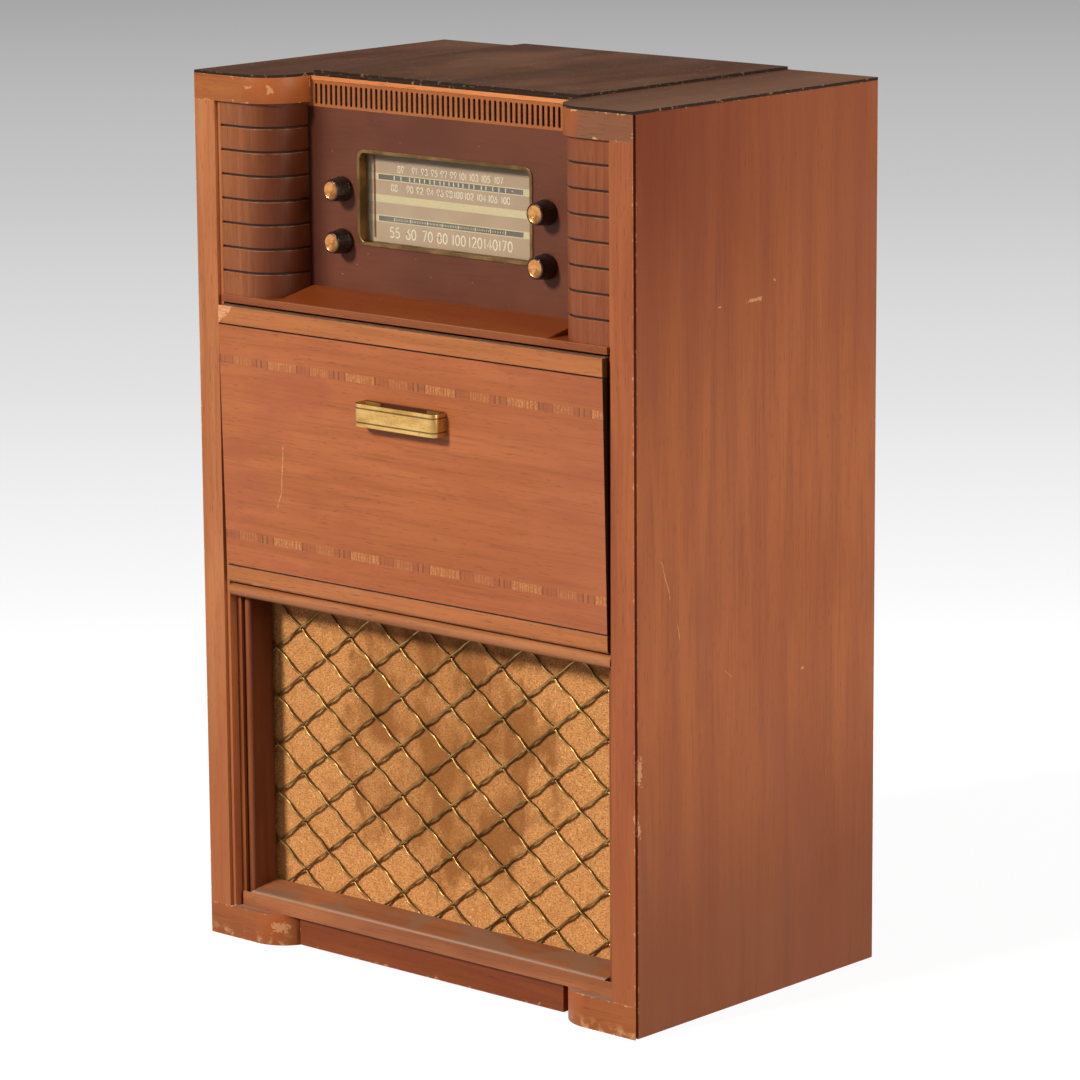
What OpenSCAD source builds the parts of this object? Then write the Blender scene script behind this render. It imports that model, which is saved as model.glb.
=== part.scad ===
// Console cabinet with a radio behind ribbed columns, a record changer behind a tilting door
// and a loudspeaker behind a wire lattice. Millimetres, +Z up, front towards -Y.
// The origin is on the floor, under the middle of the overall box.
// Every piece is drawn with y = 0 on the front face of the stiles, and from_front() moves it home.

/* [Cabinet] */
// Overall width across the side panels
cab_w = 598; // [560:1:680]
// Height of the radio's bay, from its shelf to the top board's skin
radio_h = 231.4; // [206:0.2:280]
// Depth from the front face of the stiles to the back edge of the side panels
cab_d = 381; // [370:1:450]
// Thickness of the side panels
side_t = 19; // [15:0.5:22]
// Thickness of the shelves
shelf_t = 12.5; // [10:0.5:16]
// How far the inner boards stop short of the open back
back_set = 3; // [2:0.5:10]
// Section of the cleats that carry the shelves
cleat = 14; // [10:1:18]

/* [Top] */
// Thickness of the skin that covers the top and the corner blocks
skin_t = 3; // [2:0.5:4]
// Thickness of the board under the skin
top_t = 12; // [10:1:16]
// How far the raised panel is set in from each corner block
raised_in = 4; // [1:0.5:20]
// How far the raised panel stands above the skin
raised_t = 3; // [2:0.5:5]
// How far the raised panel's front edge is set behind the radio panel's face
raised_set = 2; // [1:0.5:6]

/* [Front frame] */
// Width of each stile's front face
stile_w = 29; // [25:1:34]
// Width of the bead along each stile's inner edge
bead_w = 4.5; // [3:0.5:6]
// How far the bead is set behind the stile's face
bead_set = 3.8; // [2:0.2:5]
// Depth of the stile block, from the front face
stile_d = 24; // [22:1:30]
// Width and depth of the groove between the front frame and each side panel
quirk = 4; // [2:0.5:5]
// Thickness of the front frame's lip outside the groove
lip_t = 1; // [0.8:0.2:2]
// Depth from the front face to the radio panel, the depth of the corner blocks
block_d = 56; // [52:1:64]
// Height of the corner blocks under the top skin
cap_h = 27; // [22:1:34]
// Width of the corner blocks, inside the side panels
block_w = 94; // [84:1:110]
// Radius of the corner blocks' inner front corner
block_turn = 44; // [30:1:48]
// Height of the feet
foot_h = 34; // [28:1:44]

/* [Columns] */
// How far the columns are set behind the corner blocks, all round
column_set = 4; // [2:0.5:8]
// Number of segments in a column
rib_count = 8; // [5:1:10]
// Width of the groove between two segments
rib_gap = 2.4; // [1.5:0.1:4]
// Depth of the groove between two segments
rib_depth = 2; // [1:0.2:3]

/* [Speaker front] */
// Height of the speaker opening, from the sill's back edge to the header
opening_h = 315.2; // [290:0.2:320]
// Width of the jamb's inner step
jamb_w = 9; // [6:0.5:14]
// How far the front of the members round the opening is from the lattice
frame_d = 50; // [46:1:51]
// Height of the sill at its back edge
sill_h = 23.3; // [20:0.1:28]
// Height of the sill's front face
sill_face_h = 15; // [10:0.5:18]
// How far the sill's front face is behind the stiles' face
sill_set = 11; // [8:0.5:12]
// How far the sill's nose reaches past the opening at each end
sill_lug = 12; // [6:0.5:15]
// How far the jamb's outer step is behind the stiles' face
jamb_step_set = 13.5; // [12:0.5:16]
// Width of the jamb's outer step
jamb_step_w = 6.8; // [5:0.2:9]
// How far the jamb's inner step is behind its outer step
jamb_inner_set = 2.9; // [2:0.1:4]
// Height of the header rail over the speaker opening
header_h = 13.5; // [12:0.5:16]
// How far the header's rounded nose is behind the stiles' face
header_set = 2; // [1:0.5:4]
// How far the plinth rail is behind the stiles' face
plinth_set = 20; // [15:1:24]
// Thickness of the plinth rail
plinth_t = 18; // [12:1:20]
// Height of the plinth rail above the floor
plinth_lift = 2; // [1:0.5:6]

/* [Lattice] */
// Distance between crossings along a row
mesh_w = 71.2; // [60:0.2:80]
// Distance between crossings down a column
mesh_h = 52.7; // [46:0.1:64]
// Distance of the nearest crossing from the middle
mesh_shift = 3.4; // [0:0.2:10]
// Distance of the upper row of crossings below the header
mesh_drop = 35.1; // [10:0.1:40]
// Diameter of the lattice wire
wire_dia = 2.3; // [1.8:0.1:2.6]
// Gap between two wires where they cross
wire_gap = 0.3; // [0.2:0.05:0.4]
// How far the wires run on behind the frame
wire_tail = 5; // [3:0.5:6]
// Number of bends of the wire from one crossing to the next
wire_bends = 3; // [1:2:3]

/* [Speaker] */
// Thickness of the cloth
cloth_t = 0.9; // [0.6:0.1:1.2]
// Gap between the lattice and the cloth
cloth_gap = 0.6; // [0.4:0.1:0.8]
// How far the cloth reaches past the opening
cloth_lap = 12; // [8:1:14]
// Thickness of the baffle board
baffle_t = 12; // [9:1:15]
// Radius of the hole in the baffle
baffle_hole_r = 130; // [110:1:134]
// Outer radius of the speaker basket's rim
basket_r = 146; // [143:1:147]
// Depth of the speaker basket
basket_d = 78; // [60:1:100]
// Wall of the speaker basket
basket_t = 2.5; // [2:0.5:4]
// Number of legs of the speaker basket
basket_legs = 8; // [4:1:10]
// Thickness of the cone's edge, held between the baffle and the basket
cone_edge_t = 1; // [0.6:0.1:2]
// Radius of the magnet pot
magnet_r = 46; // [35:1:55]
// Length of the magnet pot
magnet_l = 58; // [40:1:80]

/* [Door] */
// Height of the door
door_h = 295.5; // [280:0.5:296]
// Thickness of the door
door_t = 19; // [16:0.5:20]
// Gap between the door and what is round it, below and at the sides
door_gap = 2; // [2:0.1:3]
// Gap between the door and the stile's bead at each side
door_side_gap = 1; // [0.6:0.1:2]
// Gap over the door
door_top_gap = 2.6; // [2:0.1:4]
// Height of the rail along the top and the bottom edge of the door
door_rail_h = 18.6; // [16:0.2:30]
// Width of the dark line between a door rail and the panel
door_line = 1.6; // [1:0.1:2.5]
// Depth of that line
door_line_d = 2; // [1:0.5:4]
// Radius of the door's lower front edge
door_edge_r = 5; // [5:0.5:7]
// Distance of the pivot from the door's face and lower edge
pivot_in = 9; // [8.5:0.5:10]
// Radius of the pivot pin
pivot_r = 2.5; // [2:0.1:3]
// Running clearance of every pin in its bore
run_gap = 0.05; // [0.02:0.01:0.08]
// Angle by which the door stands open at rest
door_lean = 1.25; // [0:0.05:1.5]

/* [Door pull] */
// Length of the pull
pull_w = 113; // [90:1:140]
// Height of the pull
pull_h = 23.5; // [18:0.5:28]
// Thickness of the pull's strap
pull_t = 3; // [2:0.5:5]
// How far the pull stands out from the door
pull_out = 18; // [14:0.5:24]
// Height of the pull's middle above the door's lower edge
pull_z = 206.5; // [180:0.5:240]
// Outer radius of the pull's corners
pull_turn = 7; // [5:0.5:9]

/* [Shelf under the radio] */
// Thickness of the shelf's front edge
nose_t = 7.5; // [6:0.5:10]
// How much thicker the shelf is behind the door
shelf_drop = 10; // [6:1:14]
// Height by which the shelf rises between the columns
ramp_h = 11; // [6:0.5:16]

/* [Radio panel] */
// Thickness of the radio panel
panel_t = 10; // [8:1:12]
// Width of the dial opening
dial_w = 236; // [200:1:240]
// Height of the dial opening
dial_h = 94; // [80:1:104]
// Height of the dial's middle above the shelf
dial_z = 108.5; // [100:0.5:114]
// Radius of the dial opening's corners
dial_r = 8; // [4:1:12]
// Width of the bezel round the dial
bezel_w = 2.4; // [1.5:0.1:4]
// How far the bezel stands out
bezel_out = 1.2; // [0.8:0.1:2]
// Distance from the radio panel's face back to the dial plate
dial_recess = 14; // [13:0.5:18]
// Thickness of the dial glass
glass_t = 2; // [1.5:0.5:2]
// Thickness of the dial plate
plate_t = 1.2; // [1:0.1:2]
// Number of slots in the vent strip
vent_count = 51; // [31:2:53]
// Distance between two vent slots
vent_pitch = 7.1; // [6.6:0.1:7.2]
// Width of a vent slot
vent_slot = 3.4; // [2.5:0.1:3.8]
// Height of the vent slots
vent_h = 21.2; // [18:0.2:24]
// Height of the rail below the vent slots
vent_rail = 2.6; // [2:0.1:4]
// Height of the plain wood above the vent slots
vent_top = 7.6; // [6:0.1:12]
// Width and depth of the fine groove above the vent slots
vent_line = 0.8; // [0.6:0.1:1.2]
// Thickness of the vent strip
vent_t = 6; // [4:0.5:8]

/* [Knobs] */
// Distance of the knobs from the middle
knob_x = 140; // [136:1:150]
// Height of the upper knobs above the shelf
knob_high = 115; // [110:0.5:120]
// Height of the lower knobs above the shelf
knob_low = 61; // [58:0.5:66]
// Radius of a knob at the panel
knob_r = 13.2; // [11:0.1:15]
// Radius of a knob at its face
knob_face_r = 10.6; // [9:0.1:12]
// Length of a knob
knob_l = 18.5; // [15:0.5:24]
// Gap between a knob and the panel
knob_gap = 1.5; // [1:0.1:2]
// Radius of the disc in a knob's face
disc_r = 9.3; // [7:0.1:9.6]
// Depth of the disc's dish
disc_dish = 1.6; // [1:0.1:2.4]
// Radius of a control shaft
shaft_r = 3; // [2.5:0.1:3.2]
// Radius of a control's can
control_r = 14; // [11:0.5:15]
// Length of a control's can
control_l = 16; // [12:1:18]

/* [Chassis] */
// Width of the chassis
chassis_w = 380; // [340:5:420]
// Depth of the chassis
chassis_d = 170; // [150:5:200]
// Height of the chassis
chassis_h = 56; // [50:1:60]
// Thickness of the chassis metal
metal_t = 1.5; // [1:0.5:2]
// Distance of the chassis behind the radio panel's face
chassis_set = 38; // [37:1:50]
// Radius of a valve's bulb
bulb_r = 17; // [14:1:20]
// Height of a valve above the chassis
valve_h = 92; // [70:1:110]
// Radius of the tuning capacitor's plates
gang_r = 20; // [16:1:24]
// Number of moving plates in the tuning capacitor
gang_plates = 8; // [5:1:10]
// Distance between two moving plates
gang_pitch = 4.4; // [4:0.2:6]

/* [Changer tray] */
// Height of the tray's underside above the door's pivot
tray_z = 87; // [86:1:92]
// Thickness of the tray
tray_t = 12; // [10:1:14]
// Depth of the tray
tray_d = 326; // [310:2:330]
// How far the tray's front part is inside the stile's bead at each side
tray_in = 19.5; // [18:0.5:24]
// Travel of the tray when the door is fully open
tray_travel = 112; // [108:1:120]
// Side of the opening in the tray for the motor
motor_hole = 84; // [80:1:88]

/* [Record changer] */
// Width of the changer's base plate
base_w = 380; // [370:5:400]
// Depth of the changer's base plate
base_d = 300; // [290:5:306]
// Thickness of the changer's base plate
base_t = 3; // [2:0.5:4]
// Radius of the platter
platter_r = 127; // [115:1:130]
// Height of the platter's top above the base plate
platter_h = 25; // [20:1:32]
// Radius of the spindle
spindle_r = 3.6; // [3.4:0.1:3.7]
// Height of the spindle above the platter
spindle_h = 96; // [70:1:104]
// Length of the tone arm from its pivot to the needle
arm_l = 208; // [195:1:215]
// Height of the record support above the platter
support_h = 74; // [60:1:90]

/* [Hidden] */
$fn = 64;

front_wood = "#B66C44";
side_wood = "#964B2A";
top_wood = "#55372B";
panel_wood = "#73463A";
bare_wood = "#C49A6C";
cloth_tan = "#C8965A";
brass = "#CDA55F";
wire_brass = "#82704A";
steel = "#9A9C9E";
dark_steel = "#4B4A48";
dial_beige = "#B79C80";
knob_brown = "#2A1712";
changer_brown = "#5A3B28";
paper_black = "#2B2724";
clear_glass = "#DDE6E4";

eps = 0.01;
cut = 1;

// Heights
sill_top = foot_h + sill_h;
header_z = sill_top + opening_h;
header_top = header_z + header_h;
door_z = header_top + door_gap;
door_top = door_z + door_h;
nose_z = door_top + door_top_gap;
shelf_top = nose_z + nose_t;
cab_h = shelf_top + radio_h;
side_h = cab_h - skin_t;
cap_z = side_h - cap_h;
vent_z = side_h - vent_top - vent_h - vent_rail;
base_z = foot_h;
changer_floor_z = header_top - shelf_t;

// Places across
half_w = cab_w / 2;
inner_x = half_w - side_t;
stile_x = half_w - stile_w;
bead_x = stile_x - bead_w;
lip_back = lip_t + quirk;
back_y = cab_d - back_set;
block_x = inner_x - block_w;
opening_x = bead_x - jamb_step_w - jamb_w;
column_x = block_x + column_set;
column_turn = block_turn - column_set;

// Speaker front
wire_r = wire_dia / 2;
weave = wire_r + wire_gap / 2;
lattice_y = frame_d + weave + wire_r + wire_gap;
cloth_y = lattice_y + weave + wire_r + cloth_gap;
baffle_y = cloth_y + cloth_t;
speaker_y = baffle_y + baffle_t;
speaker_z = (sill_top + header_z) / 2;

// Door and its pivot
door_x = bead_x - door_side_gap;
pivot_y = pivot_in;
pivot_z = door_z + pivot_in;
bush_r = pivot_r + 1.5;
bush_l = 10;
pull_middle = door_z + pull_z;

// Tray and changer
tray_low = pivot_z + tray_z;
tray_top = tray_low + tray_t;
tray_y = stile_d;
runner_h = 14;
runner_gap = 0.3;
runner_wall = 2.5;
runner_reach = 14;
runner_front = stile_d + 2;
bar_y = runner_front + tray_travel + 2;
bar_back = tray_y + tray_d;
tray_x = bead_x - tray_in;
base_y = tray_y + 12;
changer_x = -15;
base_top = tray_top + base_t;
platter_x = -20;
platter_y = base_y + base_d / 2 - 1;
platter_top = base_top + platter_h;
spindle_top = platter_top + spindle_h;
arm_x = changer_x + base_w / 2 - 25;
arm_y = base_y + base_d - 46;
arm_z = base_top + 49;
arm_post_r = 9;
arm_pin_r = 4;
arm_cheek_w = 5;
motor_x = 90;
motor_y = base_y + base_d / 2 + 64;
support_x = changer_x - base_w / 2 + 14;

// Links between the door and the tray: the pins' places and the length of the link's slot
link_door_y = pivot_y + 39;
link_door_z = pivot_z + 54;
link_tray_y = tray_y + 34;
link_tray_z = pivot_z + tray_z + tray_t / 2;
link_t = 4;
link_w = 16;
link_pin_r = 3;
link_slot_play = 1;
link_short = 26.4;
link_long = 48.7;
link_run = [link_door_y - pivot_y, link_door_z - pivot_z];
link_dy = pivot_y + link_run[0] * cos(door_lean) - link_run[1] * sin(door_lean) - link_tray_y;
link_dz = pivot_z + link_run[0] * sin(door_lean) + link_run[1] * cos(door_lean) - link_tray_z;
link_angle = atan2(link_dz, link_dy);
link_x = tray_x + 4;
iron_t = 3;
iron_x = link_x + link_t + 2;

// Radio
panel_y = block_d;
dial_mid = shelf_top + dial_z;
glass_y = panel_y + panel_t;
plate_y = panel_y + dial_recess;
plate_back = plate_y + plate_t;
plate_w = 2 * knob_x + 50;
plate_low = shelf_top + knob_low - 20;
plate_high = shelf_top + dial_z + dial_h / 2 + 12;
knob_back = panel_y - knob_gap;
knob_places = [[-knob_x, knob_high], [-knob_x, knob_low], [knob_x, knob_high], [knob_x, knob_low]];
shaft_end = plate_back + 10;
pointer_x = -dial_w / 2 + 9;
pointer_w = 1.2;
pointer_gap = 0.5;
chassis_y = panel_y + chassis_set;
chassis_top = shelf_top + chassis_h;
bolt_places = [[-150, 30], [150, 30], [-150, chassis_d - 30], [150, chassis_d - 30]];
bolt_r = 3;
gang_x = 20;
gang_y = chassis_y + 20;
gang_l = gang_plates * gang_pitch;
gang_z = chassis_top + gang_r + 8;
gang_plate_t = 1.2;

// The door's foremost point at rest is the pull's upper front edge
pull_reach = (pull_out + pivot_y) * cos(door_lean)
    + (pull_middle + pull_h / 2 - pivot_z) * sin(door_lean) - pivot_y;
face_y = (pull_reach - cab_d) / 2;

module from_front() {
    translate([0, face_y, 0]) children();
}

module mirrored() {
    mirror([1, 0, 0]) children();
}

// A bar along X with a given profile in (y, z)
module along_x(length) {
    translate([-length / 2, 0, 0])
        rotate([90, 0, 90])
            linear_extrude(length) children();
}

// A plate standing across the cabinet, with a given profile in (x, z)
module across(y, thick) {
    translate([0, y + thick, 0])
        rotate([90, 0, 0])
            linear_extrude(thick) children();
}

module rod_x(x0, x1, y, z, r) {
    translate([x0, y, z])
        rotate([0, 90, 0])
            cylinder(r = r, h = x1 - x0);
}

module rod_y(x, y0, y1, z, r) {
    translate([x, y1, z])
        rotate([90, 0, 0])
            cylinder(r = r, h = y1 - y0);
}

module rounded_box(w, h, r) {
    for (sx = [-1, 1], sz = [-1, 1])
        translate([sx * (w / 2 - r), sz * (h / 2 - r)]) circle(r);
    square([w - 2 * r, h], center = true);
    square([w, h - 2 * r], center = true);
}

// Plan of a corner block or a column: a rounded inner front corner
module block_plan(x, y, turn, x_end, y_end) {
    intersection() {
        translate([x + turn, y + turn]) circle(turn);
        translate([x, y]) square([turn, turn]);
    }
    translate([x + turn, y]) square([x_end - x - turn, y_end - y]);
    translate([x, y + turn]) square([turn + eps, y_end - y - turn]);
}

// Plan of the front frame's outer end, with the groove before the side panel
module lip_plan(x) {
    difference() {
        translate([x, 0]) square([half_w - x, lip_back]);
        translate([half_w - quirk, lip_t]) square([quirk + cut, quirk + cut]);
    }
}

/* Case */

module side_panel() {
    translate([inner_x, lip_back, 0]) cube([side_t, cab_d - lip_back, side_h]);
}

module side_panel_left() {
    color(side_wood) from_front() mirrored() side_panel();
}

module side_panel_right() {
    color(side_wood) from_front() side_panel();
}

module skin_plan() {
    translate([-half_w, block_d]) square([cab_w, cab_d - block_d]);
    for (side = [0, 1])
        mirror([side, 0]) block_plan(block_x, 0, block_turn, half_w, block_d + eps);
}

module top_board() {
    board_y = panel_y + panel_t;
    color(top_wood) from_front() {
        translate([0, 0, side_h]) linear_extrude(skin_t) skin_plan();
        translate([-inner_x, board_y, side_h - top_t])
            cube([2 * inner_x, back_y - board_y, top_t + eps]);
    }
}

module top_centre_panel() {
    y0 = panel_y + raised_set;
    half = block_x - raised_in;
    color(top_wood) from_front()
        translate([-half, y0, cab_h]) cube([2 * half, cab_d - y0, raised_t]);
}

module board(y0, z0, thick) {
    translate([-inner_x, y0, z0]) cube([2 * inner_x, back_y - y0, thick]);
}

module base_board() {
    color(bare_wood) from_front() board(frame_d, base_z, shelf_t);
}

module changer_shelf() {
    color(bare_wood) from_front() board(cloth_y, changer_floor_z, shelf_t);
}

module radio_shelf() {
    stop_y = door_t + 2;
    color(front_wood) from_front() difference() {
        union() {
            translate([-bead_x, 0, nose_z]) cube([2 * bead_x, stile_d + eps, nose_t]);
            translate([-bead_x, stop_y, nose_z - shelf_drop])
                cube([2 * bead_x, stile_d + eps - stop_y, shelf_drop + eps]);
            board(stile_d, nose_z - shelf_drop, nose_t + shelf_drop);
            along_x(2 * block_x)
                polygon([[0.5, shelf_top - eps], [panel_y, shelf_top - eps],
                    [panel_y, shelf_top + ramp_h]]);
        }
        for (p = bolt_places)
            translate([p[0], chassis_y + p[1], nose_z - shelf_drop - cut])
                cylinder(r = bolt_r + 0.2, h = nose_t + shelf_drop + 2 * cut);
    }
}

module cleat_under(z) {
    translate([inner_x - cleat, 80, z - cleat]) cube([cleat, back_y - 80, cleat]);
}

module shelf_cleats() {
    color(bare_wood) from_front()
        for (side = [0, 1], z = [base_z, changer_floor_z, nose_z - shelf_drop])
            mirror([side, 0, 0]) cleat_under(z);
}

/* Front frame */

module stile() {
    difference() {
        translate([0, 0, foot_h]) linear_extrude(cap_z - foot_h) {
            lip_plan(stile_x);
            translate([bead_x, bead_set]) square([inner_x - bead_x, stile_d - bead_set]);
        }
        rod_x(bead_x - cut, bead_x + bush_l, pivot_y, pivot_z, bush_r);
    }
}

module stile_left() {
    color(front_wood) from_front() mirrored() stile();
}

module stile_right() {
    color(front_wood) from_front() stile();
}

module column_plan(inset) {
    block_plan(column_x + inset, column_set + inset, column_turn - inset, bead_x, block_d);
}

module column() {
    column_h = cap_z - shelf_top;
    pitch = column_h / rib_count;
    difference() {
        translate([0, 0, shelf_top]) linear_extrude(column_h) column_plan(0);
        for (i = [1:rib_count - 1])
            translate([0, 0, shelf_top + i * pitch - rib_gap / 2])
                linear_extrude(rib_gap) difference() {
                    translate([column_x - cut, column_set - cut])
                        square([bead_x - column_x + 2 * cut, block_d - column_set + cut]);
                    column_plan(rib_depth);
                }
    }
}

module column_left() {
    color(front_wood) from_front() mirrored() column();
}

module column_right() {
    color(front_wood) from_front() column();
}

module corner_block(z, h) {
    translate([0, 0, z]) linear_extrude(h) {
        block_plan(block_x, 0, block_turn, inner_x, block_d);
        lip_plan(inner_x - eps);
    }
}

module cap_left() {
    color(front_wood) from_front() mirrored() corner_block(cap_z, cap_h);
}

module cap_right() {
    color(front_wood) from_front() corner_block(cap_z, cap_h);
}

module foot_left() {
    color(front_wood) from_front() mirrored() corner_block(0, foot_h);
}

module foot_right() {
    color(front_wood) from_front() corner_block(0, foot_h);
}

module header_rail() {
    nose_r = header_h / 2;
    color(front_wood) from_front() along_x(2 * bead_x) {
        translate([header_set + nose_r, header_z + nose_r]) circle(nose_r);
        translate([header_set + nose_r, header_z])
            square([frame_d - header_set - nose_r, header_h]);
    }
}

module jamb() {
    step_x = bead_x - jamb_step_w;
    inner_y = jamb_step_set + jamb_inner_set;
    round_r = (step_x - opening_x) / 2;
    translate([0, 0, foot_h]) linear_extrude(header_z - foot_h) {
        translate([step_x - eps, jamb_step_set])
            square([jamb_step_w + eps, frame_d - jamb_step_set]);
        translate([opening_x + round_r, inner_y + round_r]) circle(round_r);
        translate([opening_x, inner_y + round_r])
            square([2 * round_r, frame_d - inner_y - round_r]);
        translate([bead_x - eps, stile_d]) square([inner_x - bead_x + eps, frame_d - stile_d]);
    }
}

module jamb_left() {
    color(front_wood) from_front() mirrored() jamb();
}

module jamb_right() {
    color(front_wood) from_front() jamb();
}

module sill_rail() {
    face_top = foot_h + sill_face_h;
    edge_r = 2.3;
    edge_y = sill_set + edge_r;
    color(front_wood) from_front() {
        along_x(2 * opening_x) {
            polygon([[sill_set, foot_h], [frame_d, foot_h], [frame_d, sill_top],
                [frame_d - 10, sill_top - 1], [28, sill_top - 3.4], [17, sill_top - 5.7],
                [edge_y, face_top + edge_r], [sill_set, face_top]]);
            translate([edge_y, face_top]) circle(edge_r);
        }
        for (side = [0, 1])
            mirror([side, 0, 0]) translate([opening_x - eps, sill_set, foot_h])
                cube([sill_lug, jamb_step_set - sill_set, sill_face_h]);
    }
}

module plinth_rail() {
    // The rail's ends stop just short of the feet's rounded corners
    end_gap = 0.3;
    rise = block_turn - plinth_set - plinth_t;
    foot_edge = block_x + block_turn - sqrt(block_turn * block_turn - rise * rise);
    half = foot_edge - end_gap;
    color(side_wood) from_front()
        translate([-half, plinth_set, plinth_lift])
            cube([2 * half, plinth_t, foot_h - plinth_lift]);
}

/* Lattice, cloth and loudspeaker */

// Crossing (i, j) sits i half cells across and j half cells up from the middle.
// A wire that rises to the right keeps i - j, one that falls keeps i + j.
half_mesh_x = mesh_w / 2;
half_mesh_z = mesh_h / 2;
lattice_x = opening_x + wire_tail;
lattice_low = sill_top - wire_tail;
lattice_high = header_z + wire_tail;
cross_z = header_z - mesh_drop;

// Point of a wire at t half cells along it; dir is 1 for a rising wire and -1 for a falling one
function wire_point(k, dir, t) = [
    mesh_shift + (k + t) * half_mesh_x,
    lattice_y - dir * weave * cos(180 * wire_bends * t),
    cross_z + dir * t * half_mesh_z];

// Stretch of t over which a wire is inside the frame's box
function wire_from(k, dir) = max((-lattice_x - mesh_shift) / half_mesh_x - k,
    (dir > 0 ? lattice_low - cross_z : cross_z - lattice_high) / half_mesh_z);
function wire_to(k, dir) = min((lattice_x - mesh_shift) / half_mesh_x - k,
    (dir > 0 ? lattice_high - cross_z : cross_z - lattice_low) / half_mesh_z);

function wire_ring(k, dir, t, sides) =
    let (p = wire_point(k, dir, t),
        run = norm([half_mesh_x, half_mesh_z]),
        across = [-dir * half_mesh_z / run, 0, half_mesh_x / run])
    [for (s = [0:sides - 1])
        p + wire_r * (cos(360 * s / sides) * across + sin(360 * s / sides) * [0, 1, 0])];

module lattice_wire(k, dir) {
    sides = 6;
    t0 = wire_from(k, dir);
    t1 = wire_to(k, dir);
    bends = [for (n = [floor(t0 * wire_bends) + 1:ceil(t1 * wire_bends) - 1]) n / wire_bends];
    stops = concat([t0], bends, [t1]);
    steps = len(stops) - 1;
    rings = [for (t = stops) wire_ring(k, dir, t, sides)];
    points = [for (ring = rings) each ring];
    last = steps * sides;
    walls = [for (n = [0:steps - 1], s = [0:sides - 1])
        let (a = n * sides + s, b = n * sides + (s + 1) % sides)
        each [[a, b, a + sides], [b, b + sides, a + sides]]];
    ends = [for (s = [1:sides - 2]) each [[0, s + 1, s], [last, last + s, last + s + 1]]];
    if (t1 - t0 > 0.4)
        polyhedron(points, concat(walls, ends));
}

module wire_lattice() {
    // Every second line of crossings carries a wire of each family
    reach = ceil((2 * lattice_x) / half_mesh_x + (lattice_high - lattice_low) / half_mesh_z);
    color(wire_brass) from_front()
        for (n = [-reach:reach], dir = [-1, 1]) {
            k = 2 * n;
            if (wire_to(k, dir) > wire_from(k, dir)) lattice_wire(k, dir);
        }
}

module grille_cloth() {
    low = base_z + shelf_t;
    high = changer_floor_z;
    half = opening_x + cloth_lap;
    color(cloth_tan) from_front()
        translate([-half, cloth_y, low]) cube([2 * half, cloth_t, high - low]);
}

module speaker_baffle() {
    low = base_z + shelf_t;
    color(bare_wood) from_front() difference() {
        translate([-inner_x, baffle_y, low])
            cube([2 * inner_x, baffle_t, changer_floor_z - low]);
        rod_y(0, baffle_y - cut, speaker_y + cut, speaker_z, baffle_hole_r);
    }
}

module speaker_basket() {
    rim_w = 14;
    leg_w = 20;
    leg_t = 3;
    foot_r = basket_r - rim_w + 1;
    neck_r = magnet_r - 7;
    low = cone_edge_t + basket_t;
    high = basket_d - basket_t;
    color(dark_steel) from_front() translate([0, speaker_y, speaker_z]) rotate([-90, 0, 0]) {
        rotate_extrude($fn = 96)
            translate([basket_r - rim_w, cone_edge_t]) square([rim_w, basket_t]);
        for (i = [0:basket_legs - 1])
            rotate(360 * (i + 0.5) / basket_legs) rotate([90, 0, 0])
                linear_extrude(leg_w, center = true)
                    polygon([[foot_r, low - 1.5], [foot_r + leg_t, low - 1.5],
                        [foot_r + leg_t, low - 0.5], [neck_r + leg_t, high + 1],
                        [neck_r, high + 1], [foot_r, low - 0.5]]);
        translate([0, 0, high]) cylinder(r = magnet_r, h = magnet_l + basket_t);
    }
}

module speaker_cone() {
    edge_r = basket_r - 26;
    throat_r = 22;
    cone_d = basket_d - 16;
    color(paper_black) from_front() translate([0, speaker_y, speaker_z]) rotate([-90, 0, 0]) {
        rotate_extrude($fn = 96) polygon([[throat_r - 6, cone_d], [throat_r, cone_d],
            [edge_r, cone_edge_t], [basket_r, cone_edge_t], [basket_r, 0], [edge_r - 1, 0],
            [throat_r - 1, cone_d - 2], [throat_r - 6, cone_d - 2]]);
        translate([0, 0, cone_d - 2]) cylinder(r = throat_r - 6, h = 2);
        translate([0, 0, cone_d]) cylinder(r = throat_r - 7, h = basket_d - basket_t - cone_d);
    }
}

module output_transformer() {
    size = [52, 30, 44];
    wall_x = inner_x - 104;
    color(dark_steel) from_front() translate([wall_x, speaker_y, base_z + shelf_t + 12]) {
        cube(size);
        translate([6, size[1] - eps, 6]) cube([size[0] - 12, 7, size[2] - 12]);
        translate([-12, 0, 4]) cube([size[0] + 24, 2, size[2] - 8]);
    }
}

/* Radio */

module vent_grille() {
    slot_z = vent_z + vent_rail;
    straight = vent_h - vent_slot;
    line_z = side_h - vent_top + vent_rail;
    color(front_wood) from_front() difference() {
        across(panel_y, vent_t) difference() {
            translate([-inner_x, vent_z]) square([2 * inner_x, side_h - vent_z]);
            for (i = [0:vent_count - 1])
                translate([(i - (vent_count - 1) / 2) * vent_pitch, slot_z + vent_slot / 2]) {
                    translate([-vent_slot / 2, 0]) square([vent_slot, straight]);
                    circle(d = vent_slot, $fn = 24);
                    translate([0, straight]) circle(d = vent_slot, $fn = 24);
                }
        }
        translate([-block_x, panel_y - cut, line_z])
            cube([2 * block_x, cut + vent_line, vent_line]);
    }
}

module radio_panel() {
    color(panel_wood) from_front() across(panel_y, panel_t) difference() {
        translate([-inner_x, shelf_top]) square([2 * inner_x, vent_z - shelf_top]);
        translate([0, dial_mid]) rounded_box(dial_w, dial_h, dial_r);
        for (p = knob_places)
            translate([p[0], shelf_top + p[1]]) circle(shaft_r + 4);
    }
}

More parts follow.
